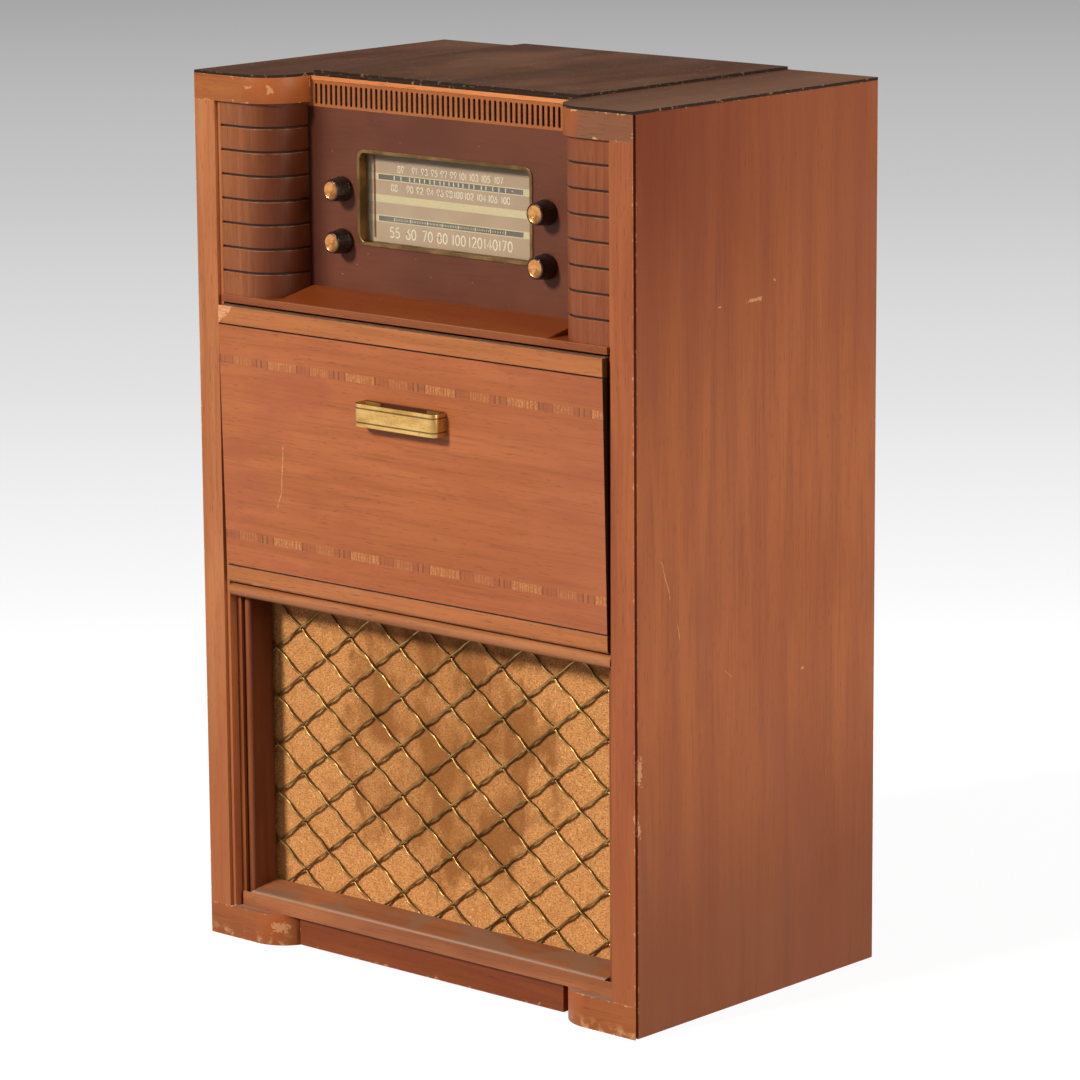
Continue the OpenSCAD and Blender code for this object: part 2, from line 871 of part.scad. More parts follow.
module dial_bezel() {
    fit = 0.6;
    wall = 1;
    color(brass) from_front() difference() {
        union() {
            across(panel_y - bezel_out, bezel_out) translate([0, dial_mid])
                rounded_box(dial_w + 2 * bezel_w, dial_h + 2 * bezel_w, dial_r + bezel_w);
            across(panel_y - eps, panel_t) translate([0, dial_mid])
                rounded_box(dial_w - fit, dial_h - fit, dial_r - fit / 2);
        }
        across(panel_y - bezel_out - cut, bezel_out + panel_t + 2 * cut) translate([0, dial_mid])
            rounded_box(dial_w - fit - 2 * wall, dial_h - fit - 2 * wall, dial_r - fit / 2 - wall);
    }
}

module dial_glass() {
    lap = 6;
    color(clear_glass, 0.35) from_front()
        translate([-dial_w / 2 - lap, glass_y, dial_mid - dial_h / 2 - lap])
            cube([dial_w + 2 * lap, glass_t, dial_h + 2 * lap]);
}

module dial_plate() {
    color(dial_beige) from_front() across(plate_y, plate_t) difference() {
        translate([-plate_w / 2, plate_low]) square([plate_w, plate_high - plate_low]);
        for (p = knob_places)
            translate([p[0], shelf_top + p[1]]) circle(shaft_r + 2);
    }
}

module shaft_controls() {
    bush_out = 5;
    color(steel) from_front() for (p = knob_places) difference() {
        union() {
            rod_y(p[0], plate_back, plate_back + control_l, shelf_top + p[1], control_r);
            rod_y(p[0], plate_y - bush_out, plate_back + eps, shelf_top + p[1], shaft_r + 1.7);
        }
        rod_y(p[0], plate_y - bush_out - cut, shaft_end + 0.5, shelf_top + p[1],
            shaft_r + run_gap);
    }
}

// A knob with a dished metal disc in its face, on its shaft, turned about the Y axis
module knob(place) {
    disc_t = 2.4;
    edge_r = 1.2;
    turn_gap = 0.2;
    x = place[0];
    z = shelf_top + place[1];
    from_front() translate([x, knob_back, z]) rotate([90, 0, 0]) {
        color(knob_brown) difference() {
            union() {
                rotate_extrude($fn = 72) polygon([[0, 0], [knob_r, 0], [knob_r, 3],
                    [knob_face_r + 0.6, knob_l - edge_r], [knob_face_r, knob_l], [0, knob_l]]);
                translate([0, 0, knob_back - shaft_end])
                    cylinder(r = shaft_r, h = shaft_end - knob_back + eps);
            }
            translate([0, 0, knob_l - disc_t]) cylinder(r = disc_r + turn_gap, h = disc_t + cut);
        }
        color(brass) translate([0, 0, knob_l - disc_t]) rotate_extrude($fn = 72)
            polygon([[0, 0], [disc_r, 0], [disc_r, disc_t], [0, disc_t - disc_dish]]);
    }
}

module volume_knob() {
    knob(knob_places[0]);
}

module tone_knob() {
    knob(knob_places[1]);
}

module band_knob() {
    knob(knob_places[2]);
}

module tuning_knob() {
    knob(knob_places[3]);
}

module dial_pointer() {
    margin = 5;
    y0 = glass_y + glass_t + pointer_gap;
    color("firebrick") from_front()
        translate([pointer_x - pointer_w / 2, y0, dial_mid - dial_h / 2 + margin])
            cube([pointer_w, plate_y - pointer_gap - y0, dial_h - 2 * margin]);
}

module chassis_pan() {
    flange = 44;
    stand_w = 16;
    inlet_r = 6;
    color(steel) from_front() difference() {
        union() {
            translate([-chassis_w / 2, chassis_y, shelf_top]) difference() {
                cube([chassis_w, chassis_d, chassis_h]);
                translate([metal_t, metal_t, metal_t])
                    cube([chassis_w - 2 * metal_t, chassis_d - 2 * metal_t, chassis_h - 2 * metal_t]);
                translate([flange, flange, -cut])
                    cube([chassis_w - 2 * flange, chassis_d - 2 * flange, 2 * cut + metal_t]);
            }
            for (x = [-95, 95])
                translate([x - stand_w / 2, plate_back, chassis_top - metal_t])
                    cube([stand_w, chassis_y - plate_back + 12, metal_t]);
            for (x = [-95, 95])
                translate([x - stand_w / 2, plate_back, chassis_top - eps])
                    cube([stand_w, metal_t, 60]);
        }
        for (p = bolt_places)
            translate([p[0], chassis_y + p[1], shelf_top - cut])
                cylinder(r = bolt_r + 0.2, h = metal_t + 2 * cut);
        rod_y(-chassis_w / 2 + 40, chassis_y + chassis_d - metal_t - cut,
            chassis_y + chassis_d + cut, shelf_top + chassis_h / 2, inlet_r);
    }
}

module chassis_bolts() {
    head_r = 6;
    head_t = 3;
    under = nose_z - shelf_drop;
    color(steel) from_front() for (p = bolt_places)
        translate([p[0], chassis_y + p[1], 0]) {
            translate([0, 0, under - head_t]) cylinder(r = head_r, h = head_t);
            translate([0, 0, under - eps]) cylinder(r = bolt_r, h = shelf_top + 6 - under);
        }
}

module valve(r, h) {
    base_r = 0.86 * r;
    base_h = 22;
    shoulder = h - r;
    rotate_extrude($fn = 40) {
        square([base_r, base_h]);
        square([r, shoulder]);
        translate([0, shoulder]) intersection() {
            circle(r);
            square([r, r]);
        }
    }
}

module valves() {
    places = [[-160, 40, 1], [-115, 40, 1], [-70, 40, 0.9], [-160, 100, 1], [-115, 120, 1.1],
        [-60, 110, 0.9], [60, 130, 1]];
    color(clear_glass) from_front() for (p = places)
        translate([p[0], chassis_y + p[1], chassis_top]) valve(bulb_r, valve_h * p[2]);
}

module power_transformer() {
    core = [70, 60, 58];
    bell = 9;
    color(dark_steel) from_front()
        translate([chassis_w / 2 - core[0] - 14, chassis_y + chassis_d - core[1] - 22, chassis_top]) {
            cube(core);
            translate([bell, -bell, bell]) cube([core[0] - 2 * bell, core[1] + 2 * bell,
                core[2] - 2 * bell]);
        }
}

// Fixed and moving plates lie between each other along the shaft
module tuning_stator() {
    wall = 2;
    half = gang_r + 5;
    shaft_hole = shaft_r + run_gap;
    color(steel) from_front() translate([gang_x, gang_y, gang_z]) {
        translate([-half, -wall, -gang_r - 8]) cube([2 * half, gang_l + 2 * wall, wall]);
        for (y = [-wall, gang_l])
            difference() {
                translate([-half, y, -gang_r - 7]) cube([2 * half, wall, 2 * gang_r + 10]);
                rod_y(0, y - cut, y + wall + cut, 0, shaft_hole);
            }
        translate([half - wall, -eps, -gang_r]) cube([wall, gang_l + 2 * eps, 2 * gang_r]);
        for (i = [0:gang_plates - 2])
            difference() {
                translate([0, (i + 1) * gang_pitch - gang_plate_t / 2, -gang_r])
                    cube([half - wall + eps, gang_plate_t, 2 * gang_r]);
                rod_y(0, (i + 0.5) * gang_pitch, (i + 1.5) * gang_pitch, 0, shaft_r + 3);
            }
    }
}

module tuning_rotor() {
    nub = 12;
    color(steel) from_front() translate([gang_x, gang_y, gang_z]) {
        rod_y(0, -nub, gang_l + 4, 0, shaft_r);
        for (i = [0:gang_plates - 1])
            intersection() {
                rod_y(0, (i + 0.5) * gang_pitch - gang_plate_t / 2,
                    (i + 0.5) * gang_pitch + gang_plate_t / 2, 0, gang_r);
                translate([-shaft_r, -nub, -gang_r]) cube([gang_r + shaft_r, gang_l + 2 * nub, 2 * gang_r]);
            }
    }
}

/* Door */

module hang_door() {
    from_front() translate([0, pivot_y, pivot_z]) rotate([door_lean, 0, 0])
        translate([0, -pivot_y, -pivot_z]) children();
}

rail_w = 2 * door_x;
pull_screw_x = pull_w / 2 - 12;

module door_rail_low() {
    difference() {
        along_x(rail_w) {
            translate([door_edge_r, door_z + door_edge_r]) circle(door_edge_r);
            translate([door_edge_r, door_z]) square([door_t - door_edge_r, door_rail_h]);
            translate([0, door_z + door_edge_r]) square([door_t, door_rail_h - door_edge_r]);
        }
        for (side = [0, 1])
            mirror([side, 0, 0]) iron_seat();
    }
}

module door_rails() {
    color(front_wood) hang_door() {
        door_rail_low();
        translate([-door_x, 0, door_top - door_rail_h]) cube([rail_w, door_t, door_rail_h]);
    }
}

module door_panel() {
    low = door_z + door_rail_h;
    high = door_top - door_rail_h;
    color(front_wood) hang_door() difference() {
        union() {
            translate([-door_x, 0, low + door_line]) cube([rail_w, door_t, high - low - 2 * door_line]);
            translate([-door_x, door_line_d, low]) cube([rail_w, door_t - door_line_d, high - low]);
        }
        for (x = [-pull_screw_x, pull_screw_x])
            rod_y(x, -cut, door_t + cut, pull_middle, 2.2);
    }
}

module pull_plan(inset) {
    w = pull_w / 2 - inset;
    r = pull_turn - inset;
    intersection() {
        translate([0, -pull_out + inset + r]) union() {
            for (x = [-w + r, w - r]) translate([x, 0]) circle(r);
            translate([-w, 0]) square([2 * w, pull_out]);
            translate([-w + r, -r]) square([2 * (w - r), pull_out]);
        }
        translate([-pull_w, -pull_out]) square([2 * pull_w, pull_out]);
    }
}

module door_pull() {
    flute_w = 1.6;
    flute_in = 4.4;
    lug = 24;
    color(brass) hang_door() {
        difference() {
            translate([0, 0, pull_middle - pull_h / 2]) linear_extrude(pull_h) difference() {
                pull_plan(0);
                difference() {
                    pull_plan(pull_t);
                    for (side = [-1, 1])
                        translate([side * (pull_w / 2 - lug / 2), -1.5]) square([lug, 3], center = true);
                }
            }
            for (z = [pull_h / 2 - flute_in, -pull_h / 2 + flute_in])
                translate([-pull_w / 2 + pull_turn, -pull_out - cut, pull_middle + z - flute_w / 2])
                    cube([pull_w - 2 * pull_turn, cut + 0.6, flute_w]);
            for (x = [-pull_screw_x, pull_screw_x])
                rod_y(x, -3 - cut, cut, pull_middle, 2.2);
        }
        for (x = [-pull_screw_x, pull_screw_x]) {
            rod_y(x, -5, door_t + 0.1, pull_middle, 2);
            rod_y(x, door_t, door_t + 2.5, pull_middle, 4.5);
        }
    }
}

// Each iron is let into the door's end, turns on its pivot pin and carries the link's pin
seat_t = 2;
seat_d = door_t - 4;

module iron_seat() {
    translate([door_x - seat_t, 4, door_z + 4]) cube([seat_t + cut, seat_d + cut, door_rail_h]);
}

module door_iron() {
    flange_w = 12;
    flange_t = 1.5;
    seat_h = door_rail_h - 4.5;
    eye_r = 8;
    web_low = link_door_z - 26;
    translate([door_x - seat_t, 4, door_z + 4]) cube([seat_t, seat_d + flange_t, seat_h]);
    translate([iron_x, door_t, door_z + 4])
        cube([door_x - iron_x, flange_t, seat_h]);
    translate([iron_x - flange_w, door_t, door_z + 4])
        cube([flange_w + iron_t, flange_t, link_door_z + eye_r - door_z - 4]);
    translate([iron_x, 0, 0]) rotate([90, 0, 90]) linear_extrude(iron_t) {
        translate([link_door_y, link_door_z]) circle(eye_r);
        polygon([[door_t, web_low], [door_t, link_door_z + eye_r],
            [link_door_y, link_door_z + eye_r], [link_door_y + eye_r, link_door_z],
            [link_door_y + eye_r * cos(45), link_door_z - eye_r * sin(45)]]);
    }
    rod_x(door_x - eps, bead_x + bush_l - 0.5, pivot_y, pivot_z, pivot_r);
    rod_x(link_x - 2, iron_x + eps, link_door_y, link_door_z, link_pin_r);
}

module door_irons() {
    color(steel) hang_door()
        for (side = [0, 1]) mirror([side, 0, 0]) door_iron();
}

module pivot_bushes() {
    color(brass) from_front() for (side = [0, 1]) mirror([side, 0, 0]) difference() {
        rod_x(bead_x, bead_x + bush_l, pivot_y, pivot_z, bush_r);
        rod_x(bead_x - cut, bead_x + bush_l + cut, pivot_y, pivot_z, pivot_r + run_gap);
    }
}

/* Tray, links and record changer */

module runner_channel() {
    z0 = tray_low + tray_t / 2 - runner_h / 2;
    channel_x = inner_x - runner_reach;
    translate([0, runner_front, 0]) difference() {
        translate([channel_x, 0, z0 - runner_gap - runner_wall])
            cube([runner_reach, bar_back + 4 - runner_front, runner_h + 2 * runner_gap + 2 * runner_wall]);
        translate([channel_x - cut, -cut, z0 - runner_gap])
            cube([runner_reach - runner_wall + cut, cab_d, runner_h + 2 * runner_gap]);
    }
}

module runner_channels() {
    color(steel) from_front() for (side = [0, 1]) mirror([side, 0, 0]) runner_channel();
}

module changer_tray() {
    z0 = tray_low + tray_t / 2 - runner_h / 2;
    bar_end = inner_x - runner_wall - 0.6;
    wing_x = inner_x - runner_reach - 1;
    color(bare_wood) from_front() difference() {
        union() {
            translate([-tray_x, tray_y, tray_low]) cube([2 * tray_x, tray_d, tray_t]);
            translate([-wing_x, bar_y, tray_low]) cube([2 * wing_x, bar_back - bar_y, tray_t]);
            for (side = [0, 1]) mirror([side, 0, 0]) {
                translate([wing_x - eps, bar_y, z0]) cube([bar_end - wing_x, bar_back - bar_y, runner_h]);
                rod_x(tray_x - eps, iron_x - 0.6, link_tray_y, link_tray_z, link_pin_r);
            }
        }
        translate([motor_x - motor_hole / 2, motor_y - motor_hole / 2, tray_low - cut])
            cube([motor_hole, motor_hole, tray_t + 2 * cut]);
    }
}

// A link hangs from the tray's pin, and the door's pin slides in its slot
module link() {
    eye = link_pin_r + run_gap;
    slot_r = link_pin_r + link_slot_play;
    far = link_long + slot_r + 4;
    translate([link_x, link_tray_y, link_tray_z]) rotate([link_angle, 0, 0])
        rotate([90, 0, 90]) linear_extrude(link_t) difference() {
            union() {
                circle(link_w / 2);
                translate([0, -link_w / 2]) square([far - link_w / 2, link_w]);
                translate([far - link_w / 2, 0]) circle(link_w / 2);
            }
            circle(eye);
            for (x = [link_short, link_long]) translate([x, 0]) circle(slot_r);
            translate([link_short, -slot_r]) square([link_long - link_short, 2 * slot_r]);
        }
}

module link_left() {
    color(steel) from_front() mirrored() link();
}

module link_right() {
    color(steel) from_front() link();
}

module changer_base() {
    pin_top = arm_z - 12;
    color(changer_brown) from_front() {
        translate([changer_x - base_w / 2, base_y, tray_top]) cube([base_w, base_d, base_t]);
        translate([arm_x, arm_y, base_top - eps]) cylinder(r = arm_pin_r, h = pin_top - base_top);
        // Rest for the parked tone arm
        translate([arm_x - 8, arm_y - arm_l + 50, base_top - eps]) difference() {
            cube([16, 8, arm_z - 6.4 - base_top]);
            translate([4, -cut, arm_z - 12 - base_top]) cube([8, 8 + 2 * cut, 12]);
        }
    }
}

module changer_motor() {
    r = motor_hole / 2 - 4;
    depth = 48;
    color(dark_steel) from_front() translate([motor_x, motor_y, tray_top - depth]) {
        cylinder(r = r, h = depth);
        translate([0, 0, -6]) cylinder(r = r - 8, h = 6 + eps);
    }
}

module record_support() {
    shelf_z = platter_top + support_h;
    color(changer_brown) from_front() translate([support_x, platter_y, base_top]) {
        cylinder(r = 13, h = 6);
        cylinder(r = 7, h = shelf_z - base_top);
        translate([-9, -30, shelf_z - base_top - eps]) cube([14, 60, 12]);
        translate([-9, -30, shelf_z - base_top - eps]) cube([40, 60, 3]);
    }
}

module spindle() {
    color(steel) from_front() translate([platter_x, platter_y, base_top]) {
        cylinder(r = spindle_r, h = spindle_top - base_top - 3);
        translate([0, 0, spindle_top - base_top - 3 - eps])
            cylinder(r1 = spindle_r, r2 = 1.5, h = 3);
    }
}

module platter() {
    rim_h = 16;
    web_t = 3;
    mat_t = 2;
    lift = 0.4;
    color(changer_brown) from_front() translate([platter_x, platter_y, base_top]) {
        difference() {
            union() {
                translate([0, 0, platter_h - rim_h]) cylinder(r = platter_r, h = rim_h - mat_t, $fn = 96);
                translate([0, 0, lift]) cylinder(r = 14, h = platter_h - lift - mat_t);
            }
            translate([0, 0, platter_h - rim_h - cut]) difference() {
                cylinder(r = platter_r - web_t, h = rim_h + cut - mat_t - web_t, $fn = 96);
                translate([0, 0, -cut]) cylinder(r = 14, h = rim_h + 2 * cut);
            }
            cylinder(r = spindle_r + run_gap, h = platter_h + cut);
        }
        translate([0, 0, platter_h - mat_t]) difference() {
            cylinder(r = platter_r - 3, h = mat_t, $fn = 96);
            translate([0, 0, -cut]) cylinder(r = spindle_r + 1, h = mat_t + 2 * cut);
        }
    }
}

module arm_swivel() {
    lift = 0.3;
    pin_l = arm_post_r + arm_cheek_w + 1.4;
    color(changer_brown) from_front() translate([arm_x, arm_y, 0]) difference() {
        union() {
            translate([0, 0, base_top + lift]) cylinder(r = 16, h = 8);
            translate([0, 0, base_top + lift]) cylinder(r = arm_post_r, h = arm_z + 6 - base_top);
            rod_x(-pin_l, pin_l, 0, arm_z, 2);
        }
        translate([0, 0, base_top]) cylinder(r = arm_pin_r + run_gap, h = arm_z - 11.5 - base_top);
    }
}

module tone_arm() {
    cheek_x = arm_post_r + 0.5;
    tube_w = 13;
    head_l = 46;
    needle = 5;
    // Needle just over a record on the platter
    drop = arm_z - platter_top - 2.2 - needle;
    tail = 26;
    color(changer_brown) from_front() translate([arm_x, arm_y, arm_z]) difference() {
        union() {
            // Two cheeks pass the post, joined before and behind it
            for (side = [0, 1])
                mirror([side, 0, 0]) translate([cheek_x, -tail, -6]) cube([arm_cheek_w, 2 * tail, 12]);
            translate([-cheek_x - arm_cheek_w, tail - eps, -6])
                cube([2 * (cheek_x + arm_cheek_w), 22, 12]);
            translate([-cheek_x - arm_cheek_w, -tail - 8, -6])
                cube([2 * (cheek_x + arm_cheek_w), 8 + eps, 12]);
            translate([-tube_w / 2, -arm_l + head_l - 10, -6])
                cube([tube_w, arm_l - head_l + 10 - tail - 8 + eps, 12]);
            translate([-11, -arm_l - 8, -drop]) cube([22, head_l, drop + 6]);
            translate([0, -arm_l, -drop - needle]) cylinder(r1 = 0.6, r2 = 1.2, h = needle + eps);
        }
        rod_x(-40, 40, 0, 0, 2 + run_gap);
    }
}

side_panel_left();
side_panel_right();
top_board();
top_centre_panel();
base_board();
radio_shelf();
changer_shelf();
shelf_cleats();
stile_left();
stile_right();
column_left();
column_right();
cap_left();
cap_right();
foot_left();
foot_right();
vent_grille();
radio_panel();
dial_bezel();
dial_glass();
dial_plate();
header_rail();
jamb_left();
jamb_right();
sill_rail();
plinth_rail();
wire_lattice();
grille_cloth();
speaker_baffle();
speaker_basket();
speaker_cone();
output_transformer();
chassis_pan();
chassis_bolts();
valves();
power_transformer();
tuning_stator();
shaft_controls();
runner_channels();
pivot_bushes();
door_panel();
door_rails();
door_pull();
door_irons();
changer_tray();
changer_base();
changer_motor();
record_support();
spindle();
platter();
arm_swivel();
tone_arm();
link_left();
link_right();
volume_knob();
tone_knob();
band_knob();
tuning_knob();
dial_pointer();
tuning_rotor();
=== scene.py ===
# %% [markdown]
# # A radio and gramophone cabinet, polished for its picture
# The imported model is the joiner's work: every board, rail and shaft stands in its place, in
# metres, on a floor at z = 0. This lesson is the polisher's work. It keeps each board whose shape
# is right and gives it wood, brass or enamel. It makes anew only the pieces whose real shape is
# finer than the joiner's, such as the grooved columns, the woven wire and the printed dial.

# %% Load the frame
import math

import bpy
from mathutils import Matrix, Vector
from mathutils import noise as ripple


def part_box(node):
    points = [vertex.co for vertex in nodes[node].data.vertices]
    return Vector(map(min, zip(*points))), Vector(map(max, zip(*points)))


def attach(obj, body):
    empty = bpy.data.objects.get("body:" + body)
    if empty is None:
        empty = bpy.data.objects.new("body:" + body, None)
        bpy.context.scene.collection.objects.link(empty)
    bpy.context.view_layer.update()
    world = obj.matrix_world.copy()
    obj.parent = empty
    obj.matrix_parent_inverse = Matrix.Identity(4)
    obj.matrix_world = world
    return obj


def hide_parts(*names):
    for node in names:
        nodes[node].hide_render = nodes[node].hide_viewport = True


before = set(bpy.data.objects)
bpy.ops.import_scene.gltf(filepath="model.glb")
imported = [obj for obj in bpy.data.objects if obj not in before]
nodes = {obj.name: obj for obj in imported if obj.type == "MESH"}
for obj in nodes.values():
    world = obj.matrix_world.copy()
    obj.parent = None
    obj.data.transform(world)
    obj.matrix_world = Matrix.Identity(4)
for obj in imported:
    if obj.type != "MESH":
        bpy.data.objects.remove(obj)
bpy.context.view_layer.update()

# %% [markdown]
# A joiner measures from the front edge of the frame, in millimetres. One small function turns
# such a measure into Blender's metres. The door leans out a little at its top, because its catch
# is worn, so the angle and the pivot are noted here for the finishes that follow its boards.

# %% Measure from the front frame
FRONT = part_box("stile_left")[0].y
DOOR_LEAN = math.radians(1.25)
DOOR_PIVOT = Vector((0, FRONT + 0.009, 0.397))


def at(x, y, z):
    """A place in millimetres: across, back from the front frame, and up from the floor."""
    return Vector((x / 1000, FRONT + y / 1000, z / 1000))


def stand(name, data):
    """A new object in the scene, made of a mesh, a lamp or a lens."""
    thing = bpy.data.objects.new(name, data)
    bpy.context.scene.collection.objects.link(thing)
    return thing


print("Front frame at y =", round(FRONT, 4), " door leans by", round(DOOR_LEAN, 4))

# %% [markdown]
# ## Camera
# The picture was taken from the right, a little above, with a long lens from far away: upright
# edges stay nearly parallel. The camera is built from its turn round the object, its height
# angle and a slight roll, because those are what a photographer sets.

# %% Stand the camera where the picture was taken
SENSOR_WIDTH, FOCAL_SHARE = 36, 4918.4 / 1080
CAMERA_PLACE = (3.3538, -3.7250, 1.4791)
turn, height, roll = (math.radians(angle) for angle in (41.86, 11.72, -0.41))
level = math.cos(height)
look = Vector((-math.sin(turn) * level, math.cos(turn) * level, -math.sin(height)))
right = look.cross(Vector((0, 0, 1))).normalized()
upward = right.cross(look)
rolled_right = right * math.cos(roll) + upward * math.sin(roll)
rolled_up = upward * math.cos(roll) - right * math.sin(roll)

camera = stand("picture_camera", bpy.data.cameras.new("picture_lens"))
camera.data.sensor_width = SENSOR_WIDTH
camera.data.lens = FOCAL_SHARE * SENSOR_WIDTH
camera.data.clip_end = 200
rows = zip(rolled_right, rolled_up, -look, CAMERA_PLACE)
camera.matrix_world = Matrix((*rows, (0, 0, 0, 1)))
bpy.context.scene.camera = camera
print("Lens in mm:", round(camera.data.lens, 2))

# %% [markdown]
# ## Light
# In a studio one large soft lamp stands in front, a little to the left and above. It throws the
# short soft shadows under the knobs and the pull. A second, broader lamp from the right opens up
# the side panel. Suns are used, so the light is the same at every height of the cabinet.

# %% Hang the lamps
def lamp(name, travel, strength, spread):
    """A far, soft lamp whose light travels along the given direction."""
    light = bpy.data.lights.new(name, "SUN")
    light.energy = strength
    light.angle = math.radians(spread)
    light.color = WARMTH
    stand(name, light).rotation_euler = Vector(travel).to_track_quat("-Z", "Y").to_euler()


WARMTH = (1.0, 0.95, 0.84)
KEY_STRENGTH, FILL_STRENGTH, SKY_STRENGTH = 3.15, 2.35, 0.25
lamp("front_lamp", (0.24, 0.83, -0.50), KEY_STRENGTH, 11)
lamp("side_lamp", (-0.93, -0.06, -0.36), FILL_STRENGTH, 40)
bpy.context.scene.view_settings.view_transform = "Standard"
print("Lamps:", KEY_STRENGTH, FILL_STRENGTH, "sky:", SKY_STRENGTH)

# %% [markdown]
# ## Mixing finishes
# Every finish is mixed from nodes. A small class keeps the recipe short: it adds a node, feeds
# its sockets and hands back the result, so that a recipe reads like a list of steps. Places come
# from Object coordinates, which here are metres on the cabinet, so grain has its real size.

# %% A bench for mixing finishes
def tint(code):
    """A colour as a painter notes it, #RRGGBB, turned into Blender's linear numbers."""
    parts = [int(code[i:i + 2], 16) / 255 for i in (1, 3, 5)]
    return tuple(p / 12.92 if p <= 0.04045 else ((p + 0.055) / 1.055) ** 2.4 for p in parts)


class Finish:
    """One material, mixed step by step."""

    def __init__(self, name, leaning=False):
        self.material = bpy.data.materials.new(name)
        self.material.use_nodes = True
        self.tree = self.material.node_tree
        self.shader = self.tree.nodes["Principled BSDF"]
        places = self.add("ShaderNodeTexCoord")
        self.spot, self.facing = places.outputs["Object"], places.outputs["Normal"]
        if leaning:
            upright = self.add("ShaderNodeVectorRotate", rotation_type="X_AXIS")
            self.feed(upright.inputs["Vector"], self.spot)
            upright.inputs["Center"].default_value = DOOR_PIVOT
            upright.inputs["Angle"].default_value = -DOOR_LEAN
            self.spot = upright.outputs[0]
        self.parts = {}

    def add(self, kind, **settings):
        """A new node with its settings."""
        node = self.tree.nodes.new(kind)
        for key, value in settings.items():
            setattr(node, key, value)
        return node

    def feed(self, socket, value):
        """Links a result to a socket, or writes a plain value into it."""
        if isinstance(value, bpy.types.NodeSocket):
            self.tree.links.new(value, socket)
        elif socket.type == "RGBA" and len(value) == 3:
            socket.default_value = (*value, 1)
        else:
            socket.default_value = value

    def put(self, **values):
        """Feeds sockets of the shader by name, with _ for a space."""
        for name, value in values.items():
            self.feed(self.shader.inputs[name.replace("_", " ")], value)
        return self

    def sum(self, way, *values):
        """One step of arithmetic."""
        node = self.add("ShaderNodeMath", operation=way)
        for socket, value in zip(node.inputs, values):
            self.feed(socket, value)
        return node.outputs[0]

    def fold(self, way, first, *rest):
        """The same step of arithmetic along a row of values."""
        for value in rest:
            first = self.sum(way, first, value)
        return first

    def times(self, *values):
        return self.fold("MULTIPLY", *values)

    def plus(self, *values):
        return self.fold("ADD", *values)

    def minus(self, *values):
        return self.fold("SUBTRACT", *values)

    def size(self, value):
        """How big a value is, whatever its sign."""
        return self.sum("ABSOLUTE", value)

    def between(self, value, low, high, start=0.0, end=1.0):
        """Follows value from low to high with a soft start and end."""
        node = self.add("ShaderNodeMapRange", interpolation_type="SMOOTHSTEP")
        for socket, number in zip(node.inputs, (value, low, high, start, end)):
            self.feed(socket, number)
        return node.outputs[0]

    def length(self, across, along):
        """The straight distance made by a step across and a step along."""
        return self.sum("SQRT", self.plus(self.times(across, across), self.times(along, along)))

    def within(self, value, rise, full, last, fall):
        """0 outside rise and fall, 1 from full to last, and soft ramps between."""
        return self.times(self.between(value, rise, full), self.between(value, fall, last))

    def mix(self, amount, first, second, way="MIX"):
        """The first colour at amount 0, the second at 1."""
        node = self.add("ShaderNodeMix", data_type="RGBA", blend_type=way)
        for place, value in ((0, amount), (6, first), (7, second)):
            self.feed(node.inputs[place], value)
        return node.outputs[2]

    def blend(self, value, low, high, first, second):
        """Two #RRGGBB colours, the second where value is high."""
        return self.mix(self.between(value, low, high), tint(first), tint(second))

    def cover(self, colour, code, amount):
        """Lays the #RRGGBB code over a colour."""
        return self.mix(amount, colour, tint(code))

    def lay(self, colour, code, value, *ramp):
        """Lays the code over a colour where value runs along a ramp."""
        return self.cover(colour, code, self.between(value, *ramp))

    def axis(self, letter, source=None):
        """A place's x, y or z, or that of another direction."""
        source = source or self.spot
        key = (letter, source.name)
        if key not in self.parts:
            node = self.add("ShaderNodeSeparateXYZ")
            self.feed(node.inputs[0], source)
            for i, name in enumerate("xyz"):
                self.parts[(name, source.name)] = node.outputs[i]
        return self.parts[key]

    def face(self, letter):
        """How far the surface faces along an axis, from -1 to 1."""
        return self.axis(letter, self.facing)

    def cloud(self, size, along=None, stretch=1.0, detail=2.0, shift=0.0, bend=0.0, rough=0.5):
        """Soft noise whose patches are size metres wide, and stretched along one axis."""
        mapping = self.add("ShaderNodeMapping")
        self.feed(mapping.inputs["Vector"], self.spot)
        mapping.inputs["Location"].default_value = (shift, shift * 0.7, shift * 1.3)
        mapping.inputs["Scale"].default_value = [
            1 / stretch if axis == along else 1.0 for axis in "xyz"]
        node = self.add("ShaderNodeTexNoise", noise_dimensions="3D")
        self.feed(node.inputs["Vector"], mapping.outputs[0])
        node.inputs["Scale"].default_value = 1 / size
        node.inputs["Detail"].default_value = detail
        node.inputs["Roughness"].default_value = rough
        node.inputs["Distortion"].default_value = bend
        return node.outputs[0]

    def relief(self, height, depth):
        """Small bumps of the given depth in metres."""
        node = self.add("ShaderNodeBump")
        node.inputs["Distance"].default_value = depth
        self.feed(node.inputs["Height"], height)
        self.feed(self.shader.inputs["Normal"], node.outputs[0])
        return self


print("A brown in linear numbers:", [round(c, 3) for c in tint("#A0603C")])

# %% [markdown]
# ## Floor and background
# The object stands on a pale sheet that runs back far behind it and grows darker with distance.
# The sheet is one plane. Its colour follows the distance along the floor, never the camera. Most
# of its paleness is seen only by the camera and in reflections, so it doesn't light the wood, and
# the rest is ordinary lit paper, which keeps the shadow.

# %% Lay the floor
def is_background_ray(finish):
    """1 for the camera, for reflections and for what is seen through glass."""
    path = finish.add("ShaderNodeLightPath")
    rays = ("Is Camera Ray", "Is Glossy Ray", "Is Transmission Ray")
    return finish.fold("MAXIMUM", *(path.outputs[ray] for ray in rays))


